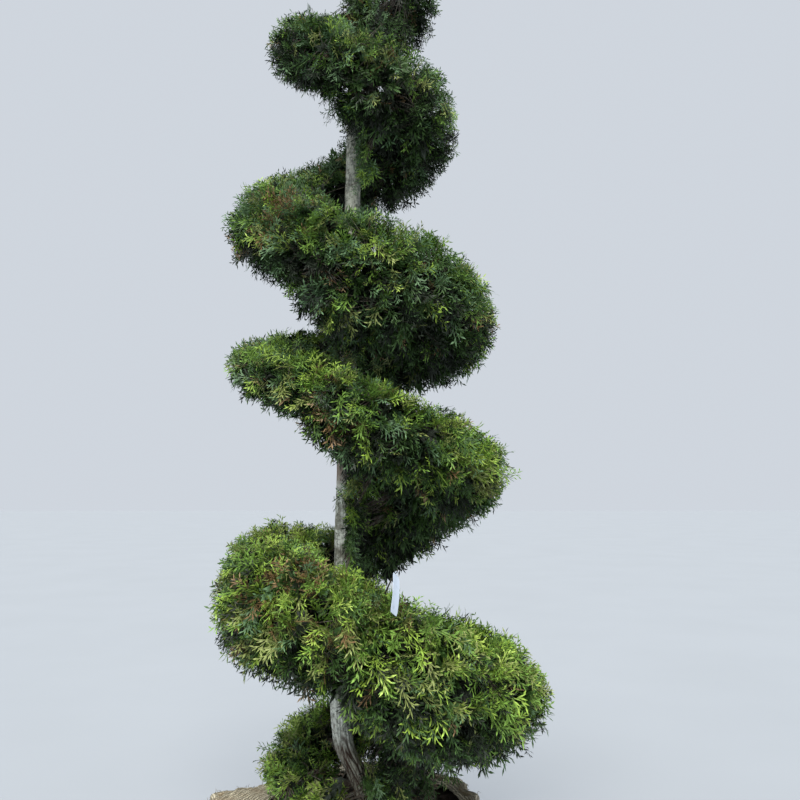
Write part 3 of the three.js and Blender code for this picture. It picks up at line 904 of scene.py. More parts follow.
def deal_kinds(sprigs, fronds):
    """Each frond's kind: most take their sprig's"""
    rng = np.random.default_rng(SEED + 6)
    chances = kind_chances(sprigs["tip"], sprigs["outwards"][:, 2],
                           *[sprigs[key] for key in ("size", "layer", "painted_lighting")])

    def drawn(rows):
        draw = rng.random(len(rows)) * rows[:, -1]
        return (draw[:, None] > rows).sum(axis=1)

    shared = drawn(chances)[fronds["sprig"]]
    own = drawn(chances[fronds["sprig"]])
    return np.where(rng.random(len(own)) < KIND_SHARED, shared, own)


# Limbs and twigs

def limbs(starts, ends, start_radii, end_radii, sides, steps, bends):
    """Tapering tubes between pairs of points, bent sideways at their middle, closed at both ends"""
    count = len(starts)
    start_radii, end_radii = np.broadcast_to(start_radii, count), np.broadcast_to(end_radii, count)
    bends = np.broadcast_to(bends, starts.shape)
    share = np.linspace(0, 1, steps + 1)
    run = ends - starts
    axis = unit(run)
    helper = np.where(np.abs(axis[:, 2:]) < 0.9, [[0, 0, 1.0]], [[1.0, 0, 0]])
    first = unit(np.cross(axis, helper))
    second = np.cross(axis, first)
    line = (
        starts[:, None]
        + run[:, None] * share[None, :, None]
        + bends[:, None] * (4 * share * (1 - share))[None, :, None]
    )
    radii = start_radii[:, None] + (end_radii - start_radii)[:, None] * share[None]
    angles = np.arange(sides) * 2 * math.pi / sides
    ring = first[:, None] * np.cos(angles)[None, :, None] + second[:, None] * np.sin(angles)[None, :, None]
    points = line[:, :, None] + ring[:, None] * radii[:, :, None, None]
    index = np.arange(count * (steps + 1) * sides).reshape(count, steps + 1, sides)
    nxt = np.roll(index, -1, axis=2)
    walls = np.stack([index[:, :-1], nxt[:, :-1], nxt[:, 1:], index[:, 1:]], -1).reshape(-1, 4)
    caps = np.concatenate([index[:, 0, ::-1], index[:, -1]])
    return points.reshape(-1, 3), walls, caps


def limb_piece(name, *groups):
    """One piece of one or more groups of limbs"""
    points, walls, caps, offset = [], [], [], 0
    for group in groups:
        p, w, c = limbs(*group)
        points.append(p)
        walls.append(w + offset)
        caps.append(c + offset)
        offset += len(p)
    return mesh_object(name, np.concatenate(points), walls + caps)


def nearest(points, places):
    """For each point the number of the nearest place"""
    found = []
    for part in np.array_split(points, max(1, len(points) // 2000)):
        found.append(np.linalg.norm(part[:, None] - places[None], axis=-1).argmin(axis=1))
    return np.concatenate(found)


def bough_tree(sprigs):
    """Stems from the trunk, leaders along each mass, boughs from their forks and a twig to each sprig"""
    rng = np.random.default_rng(SEED + 1)
    starts = BAND_START + MASS_TURNS * np.arange(len(MASS_NODES))
    forks = np.stack([band_point(starts + MASS_TURNS * share, 0.0, 0.0) for share in FORKS], 1)
    middles = forks[:, 1]
    feet = on_trunk(middles[:, 2])
    feet[:, 2] -= 0.25 * np.linalg.norm(middles - feet, axis=1)
    stem_radii = STEM_TRUNK_SHARE * trunk_radius(middles[:, 2])
    thick = [(feet, middles, stem_radii, STEM_TAPER * stem_radii, 9, 8, [0, 0, 0.02])]
    for end in (0, 2):
        lean = rng.normal(0, 0.008, feet.shape)
        thick.append((middles, forks[:, end], 0.62 * stem_radii, 0.45 * stem_radii, 7, 5, lean))
    ends = BOUGH_ENDS_PER_MASS * len(MASS_NODES)
    turns, around = even_places(rng, ends)
    hubs = band_point(turns, around, rng.uniform(*BOUGH_END_SIZE, ends))
    hubs = hubs[clear_of_trunk(hubs, BOUGH_CLEARANCE)]
    fork_points = forks.reshape(-1, 3)
    fork_radii = np.repeat(0.42 * stem_radii, len(FORKS))
    near = nearest(hubs, fork_points)
    bends = rng.normal(0, 0.012, hubs.shape)
    thick.append((fork_points[near], hubs, fork_radii[near], BOUGH_TIP_RADIUS, 6, 5, bends))
    near = nearest(sprigs["hub"], hubs)
    ends = sprigs["hub"] + sprigs["heading"] * (0.03 * sprigs["scale"])[:, None]
    twigs = (hubs[near], ends, *TWIG_RADII, 3, 3, rng.normal(0, 0.007, ends.shape))
    return thick, twigs


# Materials

class Nodes:
    """A short way to write a material's nodes. Most methods give the socket that carries their result"""

    def __init__(self, name, roughness, specular=0.5):
        self.material = bpy.data.materials.new(name)
        self.material.use_nodes = True
        self.tree = self.material.node_tree
        self.shader = self.tree.nodes["Principled BSDF"]
        self.shader.inputs["Roughness"].default_value = roughness
        self.shader.inputs["Specular IOR Level"].default_value = specular

    def feed(self, socket, value):
        """Links the socket to another node's output, or sets it to a plain value"""
        if isinstance(value, bpy.types.NodeSocket):
            self.tree.links.new(value, socket)
        else:
            socket.default_value = value

    def add(self, kind, **inputs):
        node = self.tree.nodes.new(kind)
        for name, value in inputs.items():
            self.feed(node.inputs[name.replace("_", " ")], value)
        return node

    def place(self, scale=(1, 1, 1), source="Object"):
        where = self.add("ShaderNodeTexCoord").outputs[source]
        return self.add("ShaderNodeMapping", Vector=where, Scale=scale).outputs["Vector"]

    def height(self):
        return self.add("ShaderNodeSeparateXYZ", Vector=self.place()).outputs["Z"]

    def noise(self, where, scale, detail=3.0, roughness=0.55):
        node = self.add("ShaderNodeTexNoise", Vector=where, Scale=scale, Detail=detail, Roughness=roughness)
        return node.outputs["Fac"]

    def ramp(self, value, stops):
        node = self.add("ShaderNodeValToRGB", Fac=value)
        ramp = node.color_ramp
        while len(ramp.elements) < len(stops):
            ramp.elements.new(0.5)
        for element, (place, shade) in zip(ramp.elements, stops):
            element.position = place
            element.color = (*shade, 1)
        return node.outputs["Color"]

    def level(self, value, low, high):
        """The value as a share, 0 at low and 1 at high"""
        node = self.add("ShaderNodeMapRange", Value=value, From_Min=low, From_Max=high)
        return node.outputs["Result"]

    def maths(self, operation, first, second):
        node = self.tree.nodes.new("ShaderNodeMath")
        node.operation = operation
        for socket, value in zip(node.inputs, (first, second)):
            self.feed(socket, value)
        return node.outputs["Value"]

    def times(self, first, second):
        return self.maths("MULTIPLY", first, second)

    def plus(self, first, second):
        return self.maths("ADD", first, second)

    def mix(self, share, first, second):
        """The first colour where share is 0 and the second where it is 1"""
        node = self.tree.nodes.new("ShaderNodeMix")
        node.data_type = "RGBA"
        sockets = {socket.identifier: socket for socket in (*node.inputs, *node.outputs)}
        self.feed(sockets["Factor_Float"], share)
        for name, shade in (("A_Color", first), ("B_Color", second)):
            self.feed(sockets[name], shade if isinstance(shade, bpy.types.NodeSocket) else (*shade, 1))
        return sockets["Result_Color"]

    def attribute(self, name):
        node = self.tree.nodes.new("ShaderNodeAttribute")
        node.attribute_name = name
        return node.outputs["Fac"]

    def bump(self, height, strength, distance):
        node = self.add("ShaderNodeBump", Height=height, Strength=strength, Distance=distance)
        self.tree.links.new(node.outputs["Normal"], self.shader.inputs["Normal"])

    def paint(self, colour_socket):
        self.tree.links.new(colour_socket, self.shader.inputs["Base Color"])
        return self.material


def scaled(shade, factor):
    return tuple(min(1.0, channel * factor) for channel in shade)


def leaf_material(name, shade):
    """Young leaves at the tips are paler than the old ones, with painted shade at each frond's base, a
    whitened painted highlight at its tips and a fine uneven tint
    """
    nodes = Nodes(name, roughness=0.52, specular=0.26)
    tint = nodes.level(nodes.noise(nodes.place(), 70.0, 2.0), 0.30, 0.70)
    share = nodes.plus(nodes.times(nodes.attribute("young"), 0.62), nodes.times(tint, 0.38))
    # Painted shade at the frond's base, and a brightened, whitened painted highlight at its tips
    base = tuple(channel * part for channel, part in zip(shade, (0.20, 0.25, 0.10)))
    tips = tuple(min(1, channel * 2.15 + 0.035) for channel in shade)
    return nodes.paint(nodes.ramp(share, [(0.12, base), (0.52, scaled(shade, 0.92)), (0.92, tips)]))


def bark_material(name, colours):
    """Pale mottled bark above, darker blotched bark high up that is painted shade under the upper turns, dark
    fissured bark at the foot, a brown collar where a bough was cut
    """
    nodes = Nodes(name, roughness=0.9, specular=0.2)
    bark, fissure = colours.bark, colours.fissure
    place, height = nodes.place(), nodes.height()
    strips = nodes.noise(nodes.place((1, 1, 0.16)), 190.0, 5.0, 0.65)
    mottle = nodes.noise(place, 75.0, 5.0, 0.7)
    patches = nodes.level(nodes.noise(place, 22.0, 4.0, 0.65), 0.38, 0.50)
    blotches = nodes.level(nodes.noise(place, 55.0, 5.0, 0.75), 0.46, 0.55)
    grey = nodes.mix(patches, bark, colours.bark_pale)
    flecked = nodes.mix(nodes.level(mottle, 0.35, 0.50), scaled(bark, 0.35), grey)
    weathered = nodes.mix(nodes.level(strips, 0.30, 0.52), scaled(bark, 0.45), flecked)
    # Darker blotched bark, mixed in high up as painted shade under the upper turns
    shaded_bark_blotches = nodes.mix(blotches, scaled(bark, 0.22), scaled(bark, 1.30))
    upper = nodes.mix(nodes.times(nodes.level(height, 1.8, 2.5), 0.75), weathered, shaded_bark_blotches)
    foot = nodes.mix(nodes.level(strips, 0.35, 0.62), scaled(fissure, 0.9), scaled(bark, 1.60))
    skin = nodes.mix(nodes.level(height, 0.80, 0.75), upper, foot)
    relief = nodes.level(nodes.attribute("relief"), 0.05, 0.60)
    cracked = nodes.mix(relief, scaled(fissure, 0.8), skin)
    below, above = nodes.level(height, *CUT_COLLAR[0]), nodes.level(height, *CUT_COLLAR[1])
    collar = nodes.times(nodes.times(nodes.times(below, above), patches), 0.8)
    nodes.bump(nodes.plus(strips, nodes.times(mottle, 0.6)), 0.6, 0.0015)
    return nodes.paint(nodes.mix(collar, cracked, CUT_COLOUR))


def twig_material(name, colours):
    nodes = Nodes(name, roughness=0.8, specular=0.25)
    share = nodes.noise(nodes.place((1, 1, 0.3)), 120.0, 3.0)
    stops = [(0.35, scaled(colours.fissure, 0.7)), (0.7, scaled(colours.bark, 0.5))]
    return nodes.paint(nodes.ramp(share, stops))


def weave(nodes, threads):
    """Two crossing sets of threads, uneven in thickness, along the piece's own UV map"""
    uv = nodes.add("ShaderNodeTexCoord").outputs["UV"]
    waves = []
    for direction, strength in (("X", 0.62), ("Y", 1.0)):
        node = nodes.add(
            "ShaderNodeTexWave", Vector=uv, Scale=threads, Distortion=2.2, Detail=2.0, Detail_Scale=2.5
        )
        node.bands_direction = direction
        waves.append(nodes.times(node.outputs["Fac"], strength))
    wobble = nodes.level(nodes.noise(uv, 22.0, 2.0), -0.5, 0.5)
    return nodes.times(nodes.maths("MAXIMUM", *waves), wobble)


def burlap_material(colours):
    """Coarse jute weave with slubs, dirt-stained low down and in blotches, and darker on the inside"""
    nodes = Nodes("burlap_jute", roughness=0.95, specular=0.15)
    burlap, place = colours.burlap, nodes.place()
    threads = weave(nodes, 42.0)
    fine = nodes.level(nodes.noise(place, 60.0, 4.0, 0.6), 0.3, 0.7)
    cloth = nodes.mix(fine, scaled(burlap, 0.80), scaled(burlap, 1.25))
    woven = nodes.mix(nodes.level(threads, 0.35, 0.75), scaled(burlap, 0.26), cloth)
    slubs = nodes.noise(nodes.place((16, 120, 1), "UV"), 1.0, 3.0, 0.6)
    woven = nodes.mix(nodes.level(slubs, 0.52, 0.36), woven, scaled(burlap, 0.42))
    blotch = nodes.level(nodes.noise(place, 7.0, 5.0, 0.62), 0.5, 0.72)
    low = nodes.level(nodes.height(), 0.16, 0.0)
    # The inside of the cloth is darker
    inside = nodes.level(nodes.attribute("inner_side"), 0.2, 0.9)
    dirt = nodes.times(nodes.plus(blotch, nodes.times(low, 0.8)), 0.75)
    stain_and_darkening = nodes.level(nodes.plus(dirt, nodes.times(inside, 0.8)), 0.0, 1.0)
    nodes.bump(threads, 1.0, 0.004)
    return nodes.paint(nodes.mix(stain_and_darkening, woven, colours.burlap_stain))


def soil_material(colours):
    nodes = Nodes("soil_loam", roughness=0.97, specular=0.15)
    place, soil = nodes.place(), colours.soil
    stops = [(0.3, scaled(soil, 0.45)), (0.62, soil), (0.85, scaled(soil, 2.4))]
    nodes.bump(nodes.noise(place, 180.0, 6.0, 0.7), 0.9, 0.003)
    return nodes.paint(nodes.ramp(nodes.noise(place, 30.0, 5.0, 0.65), stops))


def label_material(colours):
    nodes = Nodes("label_plastic", roughness=0.38, specular=0.5)
    # The label colour already holds painted shade
    grime = nodes.level(nodes.noise(nodes.place(), 45.0, 4.0, 0.6), 0.55, 0.8)
    return nodes.paint(nodes.mix(grime, colours.label, scaled(colours.label, 0.7)))


# Root ball

def ball_radius(heights):
    heights = np.asarray(heights, float)
    low = heights < BALL_WIDEST_AT
    run = np.where(low, BALL_WIDEST_AT, BALL_HEIGHT - BALL_WIDEST_AT)
    end = np.where(low, BALL_FOOT_RADIUS, BALL_RIM_RADIUS)
    share = np.abs(heights - BALL_WIDEST_AT) / run
    return BALL_WIDEST_RADIUS - (BALL_WIDEST_RADIUS - end) * share**BALL_ROUNDNESS


def wrap_profile():
    """From the middle of the underside up the outside, over the rolled rim and down the inside"""
    roll_height = BALL_HEIGHT - RIM_ROLL_RADIUS
    outside = np.linspace(0, roll_height - RIM_ROLL_RADIUS, 46)
    turns = np.radians(np.linspace(*RIM_ROLL_ARC, 12))
    roll = zip(ball_radius(roll_height) + RIM_ROLL_RADIUS * np.cos(turns),
               roll_height + RIM_ROLL_RADIUS * np.sin(turns))
    inside = np.concatenate([np.linspace(SOIL_TOP, SOIL_TOP - 0.10, 9), np.linspace(0.44, WRAP_THICKNESS, 8)])
    foot = [(radius, 0) for radius in np.linspace(0, ball_radius(0), 7)[:-1]]
    return [
        *foot,
        *zip(ball_radius(outside), outside),
        *roll,
        *zip(ball_radius(inside) - WRAP_THICKNESS, inside),
        (0, WRAP_THICKNESS),
    ]


def fold_shift(points, depth):
    """How far the cloth stands out at each point: gathered folds at the rim and foot, lumps between"""
    rng = np.random.default_rng(SEED + 2)
    angle = bearing(points)
    height = points[:, 2]
    rim = share_between(height, 0.30, BALL_HEIGHT)
    foot = 1 - share_between(height, 0.02, 0.26)
    shift = np.zeros(len(points))
    for _ in range(FOLD_COUNT):
        middle, slant = rng.uniform(-math.pi, math.pi), rng.normal(0, 0.55)
        width, size, reach = rng.uniform(0.022, 0.075), rng.uniform(0.25, 1.0), rng.uniform(0.35, 1.0)
        apart = turned_apart(angle, middle + slant * (BALL_HEIGHT - height))
        strength = share_between(height, BALL_HEIGHT - 0.5 * reach, BALL_HEIGHT) + 0.45 * foot
        shift += size * strength * np.exp(-(apart / width) ** 2)
    around = np.column_stack([level_unit(points)[:, :2] * 2.2, height * 4])
    lumps = field(around, 1.4, 5) * 0.9 + field(around, 4.0, 6) * 0.45
    return depth * (shift - 0.45 * rim) + 0.008 * lumps * share_between(height, 0, 0.06)


def rim_wander(side):
    """How far the rim rises and dips, by the direction from the ball's axis"""
    return field(side * 2.6, 1.0, 7) * 0.010 + field(side * 9.0, 1.0, 8) * 0.006 - 0.006


def shape_wrap(wrap, depth):
    """Folds and lumps the cloth, and lets the rolled rim wander"""
    points = points_of(wrap)
    side, radius, height = level_unit(points), from_axis(points), points[:, 2]
    inner = radius < ball_radius(np.minimum(height, BALL_HEIGHT)) - WRAP_THICKNESS / 2
    inner &= height > WRAP_THICKNESS / 2
    shift = fold_shift(points, depth) * share_between(radius, 0.2, BALL_FOOT_RADIUS)
    rim = share_between(height, SOIL_TOP - 0.01, BALL_HEIGHT)
    lowered = SHOULDER_DROP * shoulder(points) * share_between(height, BALL_HEIGHT - 0.20, BALL_HEIGHT)
    new = points + side * shift[:, None]
    new[:, 2] += rim_wander(side) * rim - lowered
    new[:, 2] = np.where(height < 1e-4, 0, new[:, 2])
    set_points(wrap, new)
    store_values(wrap, "inner_side", inner)
    map_cloth(wrap, points, height + np.where(height < WRAP_THICKNESS * 1.5, radius, BALL_FOOT_RADIUS))


def map_cloth(piece, points, run):
    """The cloth's own UV map in metres: round the ball, and along the given run"""
    layer = piece.data.uv_layers.new(name="cloth")
    corner = read_values(piece.data.loops, "vertex_index", np.int32)
    starts = read_values(piece.data.polygons, "loop_start", np.int32)
    totals = read_values(piece.data.polygons, "loop_total", np.int32)
    angle = bearing(points)[corner]
    highest = np.maximum.reduceat(angle, starts)[np.repeat(np.arange(len(starts)), totals)]
    angle = np.where(highest - angle > math.pi, angle + 2 * math.pi, angle)
    values = np.column_stack([angle * BALL_WIDEST_RADIUS, run[corner]])
    layer.data.foreach_set("uv", values.astype(np.float32).ravel())


def shoulder(points, middle=SHOULDER_AT):
    """How much each place belongs to the low shoulder at the back left, where the cloth is folded over"""
    return np.exp(-((turned_apart(bearing(points), middle) / SHOULDER_SPREAD) ** 2))


def flap_width(points):
    """How far the cloth's edge reaches in over the soil"""
    return FLAP_WIDTH + (FLAP_WIDEST - FLAP_WIDTH) * shoulder(points, FLAP_WIDEST_AT)


def shape_flap(flap, depth):
    """Folds the cloth's edge in over the soil: narrow round the ball, wide over the shoulder"""
    points = points_of(flap)
    inward = (BALL_RIM_RADIUS - from_axis(points)) / FLAP_WIDTH
    side = level_unit(points)
    low = shoulder(points)
    ragged = 0.35 * field(side * 4.0, 1.0, 31) + 0.15 * field(side * 24.0, 1.0, 32)
    width = flap_width(points) + FLAP_WIDTH * ragged
    radius = BALL_RIM_RADIUS - inward * width
    rim = BALL_HEIGHT - 0.008 - SHOULDER_DROP * low
    bed = SOIL_TOP + 0.013 - 0.4 * SHOULDER_DROP * low
    along_edge = inward * width / 0.024 + 1.6 * field(side * 6.0, 1.0, 35)
    ripples = 0.0032 * shoulder(points, FLAP_WIDEST_AT) * np.sin(2 * math.pi * along_edge)
    gathers = ripples + 0.007 * field(side * 16.0, 1.0, 33) + 0.004 * field(side * 45.0, 1.0, 34)
    bulge = 0.010 * low * np.sin(math.pi * inward)
    height = rim + (bed - rim) * inward + bulge + gathers * (1 - 0.4 * inward)
    new = side * (radius + fold_shift(points, depth) * (1 - inward))[:, None]
    new[:, 2] = np.minimum(height, BALL_HEIGHT + 0.004)
    set_points(flap, new)
    map_cloth(flap, points, -radius)
    select_only(flap)
    bpy.ops.object.modifier_add(type="SOLIDIFY")
    flap.modifiers[-1].thickness = FLAP_THICKNESS
    flap.modifiers[-1].offset = 0
    bpy.ops.object.modifier_apply(modifier=flap.modifiers[-1].name)


def fray_threads(count, depth):
    """Limbs for the loose jute threads that curl out of the rolled rim"""
    rng = np.random.default_rng(SEED + 3)
    angle = rng.uniform(-math.pi, math.pi, count)
    roll = np.radians(rng.uniform(-30, 150, count))
    height = BALL_HEIGHT - RIM_ROLL_RADIUS + RIM_ROLL_RADIUS * np.sin(roll)
    radius = ball_radius(BALL_HEIGHT - RIM_ROLL_RADIUS) + (RIM_ROLL_RADIUS - 0.004) * np.cos(roll)
    side = round_axis(1.0, angle, 0.0)
    starts = round_axis(radius, angle, height)
    starts = starts + side * fold_shift(starts, depth)[:, None]
    starts[:, 2] += rim_wander(side) - SHOULDER_DROP * shoulder(starts)
    heading = unit(round_axis(np.cos(roll), angle, np.sin(roll)) + rng.normal(0, 0.8, (count, 3)))
    ends = starts + heading * rng.uniform(0.007, 0.020, count)[:, None]
    ends[:, 2] = np.minimum(ends[:, 2], BALL_HEIGHT + 0.02)
    return starts, ends, *FRAY_RADII, 3, 4, rng.normal(0, 0.007, (count, 3))


def soil_profile():
    inset = WRAP_THICKNESS + 0.0005
    wall = np.linspace(inset, SOIL_TOP, 24)
    top = np.linspace(float(ball_radius(SOIL_TOP) - inset), 0, 70)[1:]
    return [(0, inset), *zip(ball_radius(wall) - inset, wall), *[(radius, SOIL_TOP) for radius in top]]


def shape_soil(soil, depth):
    """Follows the wrap's folds at the sides and turns the top into uneven loam, banked at the trunk"""
    points = points_of(soil)
    radius = from_axis(points)
    at_wall = share_between(radius, 0.2, BALL_FOOT_RADIUS)
    new = points + level_unit(points) * (fold_shift(points, depth) * at_wall)[:, None]
    top = points[:, 2] > SOIL_TOP - 1e-4
    rough = field(points, 9, 9) * 0.012 + field(points, 34, 10) * 0.007 + field(points, 90, 11) * 0.003
    from_trunk = np.hypot(points[:, 0] - TRUNK_LEAN[0][1], points[:, 1])
    bank = 0.014 * np.exp(-((from_trunk / 0.13) ** 2))
    lowered = 1.1 * SHOULDER_DROP * shoulder(points) * share_between(radius, 0.28, 0.42)
    new[:, 2] += np.where(top, (rough - 0.008) + bank, 0)
    new[:, 2] -= lowered * share_between(points[:, 2], SOIL_TOP - 0.20, SOIL_TOP)
    set_points(soil, new)


def stone_shapes(rng, count):
    """A few rough clods, each a dented primitive ball"""
    made = []
    for _ in range(count):
        bpy.ops.mesh.primitive_ico_sphere_add(subdivisions=2, radius=1)
        ball = bpy.context.active_object
        points = points_of(ball)
        dents = 1 + 0.35 * field(points, 1.3, rng.uniform(20, 90))
        faces = np.array([list(face.vertices) for face in ball.data.polygons])
        made.append((points * dents[:, None] * [1, 0.85, 0.7], faces))
        bpy.data.objects.remove(ball)
    return made


def scattered(shapes, rng, centres, sizes):
    """One of the shapes at each centre, each turned its own way round"""
    points, faces, offset = [], [], 0
    for centre, size in zip(centres, sizes):
        shape, corners = shapes[rng.integers(len(shapes))]
        turn = rng.uniform(0, 2 * math.pi)
        cos, sin = math.cos(turn), math.sin(turn)
        spin = np.array([[cos, -sin, 0], [sin, cos, 0], [0, 0, 1]])
        points.append(shape @ spin.T * size + centre)
        faces.append(corners + offset)
        offset += len(shape)
    return np.concatenate(points), np.concatenate(faces)


def clods_on(rng, count):
    """Middles and sizes of the clods on the soil, none of them on the folded cloth"""
    radius = (ball_radius(SOIL_TOP) - 0.03) * np.sqrt(rng.random(count))
    angle = rng.uniform(0, 2 * math.pi, count)
    sizes = rng.uniform(*CLOD_SIZES, count)
    centres = round_axis(radius, angle, SOIL_TOP - 0.006 + sizes * 0.2)
    clear = radius <= BALL_RIM_RADIUS - 0.01 - flap_width(centres)
    return centres[clear], sizes[clear]


def fallen_fronds(count, length):
    """Dead fronds that lie on the soil"""
    rng = np.random.default_rng(SEED + 8)
    radius = (ball_radius(SOIL_TOP) - 0.06) * np.sqrt(rng.random(count))
    angle = rng.uniform(0, 2 * math.pi, count)
    heading = rng.uniform(0, 2 * math.pi, count)
    along = unit(round_axis(1.0, heading, rng.normal(0, 0.08, count)))
    across = square_to(along, unit(np.cross([0, 0, 1], along) + rng.normal(0, 0.12, (count, 3))))
    return {
        "root": round_axis(radius, angle, SOIL_TOP + 0.010),
        "along": along,
        "across": across,
        "face": np.cross(along, across),
        "length": length * rng.uniform(0.45, 0.9, count),
        "curl": rng.uniform(-0.05, 0.15, count),
        "droop": np.zeros(count),
        "template": rng.choice(COARSE_TEMPLATES, count),
    }


# Trunk

def shape_trunk(trunk, depth):
    """Flare lobes at the foot, fibrous strips of bark with fissures between them, and the lean"""
    points = points_of(trunk)
    angle, radius, height = bearing(points), from_axis(points), points[:, 2]
    fade = np.exp(-(height - TRUNK_FOOT) / ROOT_FLARE_HEIGHT)
    lobes = 1 + ROOT_LOBE_DEPTH * fade * np.cos(ROOT_LOBES * angle)
    skin = round_axis(radius, angle + BARK_TWIST * height, height * BARK_STRETCH)
    strips = field(skin, 95.0, 12)
    fine = field(skin * [1, 1, 1.6], 260.0, 13)
    lumps = field(np.column_stack([points[:, :2] * 14, height * 5]), 1.0, 14)
    relief = 1 - np.abs(strips) * 2.4
    crack = share_between(relief, 0.35, 0.95)
    old = 1 - share_between(height, *OLD_BARK)
    thin = np.clip(radius / TRUNK_LOW_RADIUS, 0.25, 1)
    furrows = depth * (0.25 - 1.15 * crack + 0.30 * fine) * (0.22 + 0.78 * old)
    shift = thin * (furrows + 0.0007 * fine + 0.0020 * lumps)
    spread = np.where(radius > 1e-4, (radius * lobes + shift) / np.maximum(radius, 1e-6), 1)
    points[:, :2] *= spread[:, None]
    points[:, 0] += trunk_middle(height)
    set_points(trunk, points)
    store_values(trunk, "relief", 1 - crack * (0.15 + 0.85 * old))


# Operators

class SPIRAL_OT_stage(bpy.types.Operator):
    """Floor, surround, soft lights and the photograph's camera"""

    bl_idname = "spiral.stage"
    bl_label = "Stage"

    def light(self, name, toward, strength, spread, shade):
        """A distant lamp that shines toward the given direction"""
        data = bpy.data.lights.new(name, "SUN")
        data.energy = strength
        data.angle = math.radians(spread)
        data.color = shade
        lamp = bpy.data.objects.new(name, data)
        lamp.rotation_euler = Vector(toward).to_track_quat("-Z", "Y").to_euler()
        lamp.location = Vector(toward) * -6
        bpy.context.scene.collection.objects.link(lamp)

    def execute(self, context):
        colours = context.scene.spiral_colours
        bpy.ops.mesh.primitive_plane_add(size=FLOOR_SIZE, location=(0, 0, -0.001))
        floor = context.active_object
        floor.name = "studio_floor"
        nodes = Nodes("studio_floor_paint", roughness=0.9, specular=0.1)
        share = nodes.noise(nodes.place(), 0.8, 2.0)
        stops = [(0.3, scaled(colours.floor, 0.97)), (0.7, colours.floor)]
        floor.data.materials.append(nodes.paint(nodes.ramp(share, stops)))
        world = bpy.data.worlds.new("studio_surround")
        world.use_nodes = True
        back = world.node_tree.nodes["Background"]
        back.inputs["Color"].default_value = (*colours.sky, 1)
        back.inputs["Strength"].default_value = SURROUND_STRENGTH
        context.scene.world = world
        context.scene.view_settings.view_transform = "Standard"
        for lamp in LAMPS:
            self.light(*lamp)
        data = bpy.data.cameras.new("camera")
        data.sensor_width = CAMERA_SENSOR
        data.lens = CAMERA_LENS
        data.clip_end = 200
        camera = bpy.data.objects.new("camera", data)
        camera.location = CAMERA_PLACE
        camera.rotation_euler = (math.pi / 2 + CAMERA_TILT, 0, 0)
        context.scene.collection.objects.link(camera)
        context.scene.camera = camera
        return {"FINISHED"}


class SPIRAL_OT_root_ball(bpy.types.Operator):
    """Burlap wrap with gathered folds, a rolled frayed rim and the soil inside it"""

    bl_idname = "spiral.root_ball"
    bl_label = "Root ball"

    def execute(self, context):
        sizes, colours = context.scene.spiral_sizes, context.scene.spiral_colours
        depth = sizes.fold_depth
        cloth = burlap_material(colours)
        wrap = turned_piece("burlap_cloth", wrap_profile(), WRAP_SIDES, shape_wrap, depth)
        settle(wrap, cloth, [WRAP_NODE])
        settle(limb_piece("burlap_fray", fray_threads(FRAY_COUNT, depth)), cloth)
        edge = [(BALL_RIM_RADIUS - FLAP_WIDTH * share, 0) for share in np.linspace(0, 1, FLAP_RINGS)]
        flap = turned_piece("burlap_flap", edge, WRAP_SIDES, shape_flap, depth)
        settle(flap, cloth)
        soil = turned_piece("soil_loam", soil_profile(), SOIL_SIDES, shape_soil, depth)
        loam = soil_material(colours)
        settle(soil, loam, [SOIL_NODE])
        rng = np.random.default_rng(SEED + 4)
        shapes = stone_shapes(rng, CLOD_SHAPES)
        points, faces = scattered(shapes, rng, *clods_on(rng, CLOD_COUNT))
        settle(mesh_object("soil_clods", points, [faces]), loam)
        fallen = fallen_fronds(LITTER_COUNT, sizes.frond_length)
        litter = frond_mesh("leaf_litter", leaf_templates(sizes), fallen)
        settle(litter, leaf_material("leaf_litter", colours.dead))
        return {"FINISHED"}


class SPIRAL_OT_trunk(bpy.types.Operator):
    """The leaning trunk with its flared foot and fibrous bark"""

    bl_idname = "spiral.trunk"
    bl_label = "Trunk"

    def execute(self, context):
        sizes, colours = context.scene.spiral_sizes, context.scene.spiral_colours
        heights = TRUNK_FOOT + (TRUNK_TOP - TRUNK_FOOT) * np.linspace(0, 1, TRUNK_RINGS) ** 1.1
        profile = [(0, TRUNK_FOOT), *zip(trunk_radius(heights), heights), (0, TRUNK_TOP)]
        trunk = turned_piece("trunk_bark", profile, TRUNK_SIDES, shape_trunk, sizes.bark_depth)
        settle(trunk, bark_material("bark_trunk", colours), [TRUNK_NODE])
        return {"FINISHED"}


def whole_plant(sizes):
    counts = (sizes.sprig_count, sizes.under_count, sizes.inner_count)
    return grown_plant(*counts, sizes.frond_length, sizes.droop)


def leaf_templates(sizes):
    rng = np.random.default_rng(SEED + 5)
    share = sizes.leaf_width / sizes.frond_length
    fine = [frond_template(rng, share, 6, 2) for _ in FINE_TEMPLATES]
    coarse = [frond_template(rng, 1.9 * share, 8, 1) for _ in COARSE_TEMPLATES]
    return fine + coarse


class SPIRAL_OT_boughs(bpy.types.Operator):
    """Stems, leaders and boughs inside the band, and the twigs that carry the fronds"""

    bl_idname = "spiral.boughs"
    bl_label = "Boughs and twigs"

    def execute(self, context):
        sizes, colours = context.scene.spiral_sizes, context.scene.spiral_colours
        sprigs, _ = whole_plant(sizes)
        thick, thin = bough_tree(sprigs)
        boughs = limb_piece("boughs", *thick)
        smooth(boughs)
        settle(boughs, twig_material("bark_boughs", colours), MASS_NODES)
        twigs = limb_piece("twigs", thin)
        settle(twigs, twig_material("bark_twigs", colours), MASS_NODES)
        return {"FINISHED"}


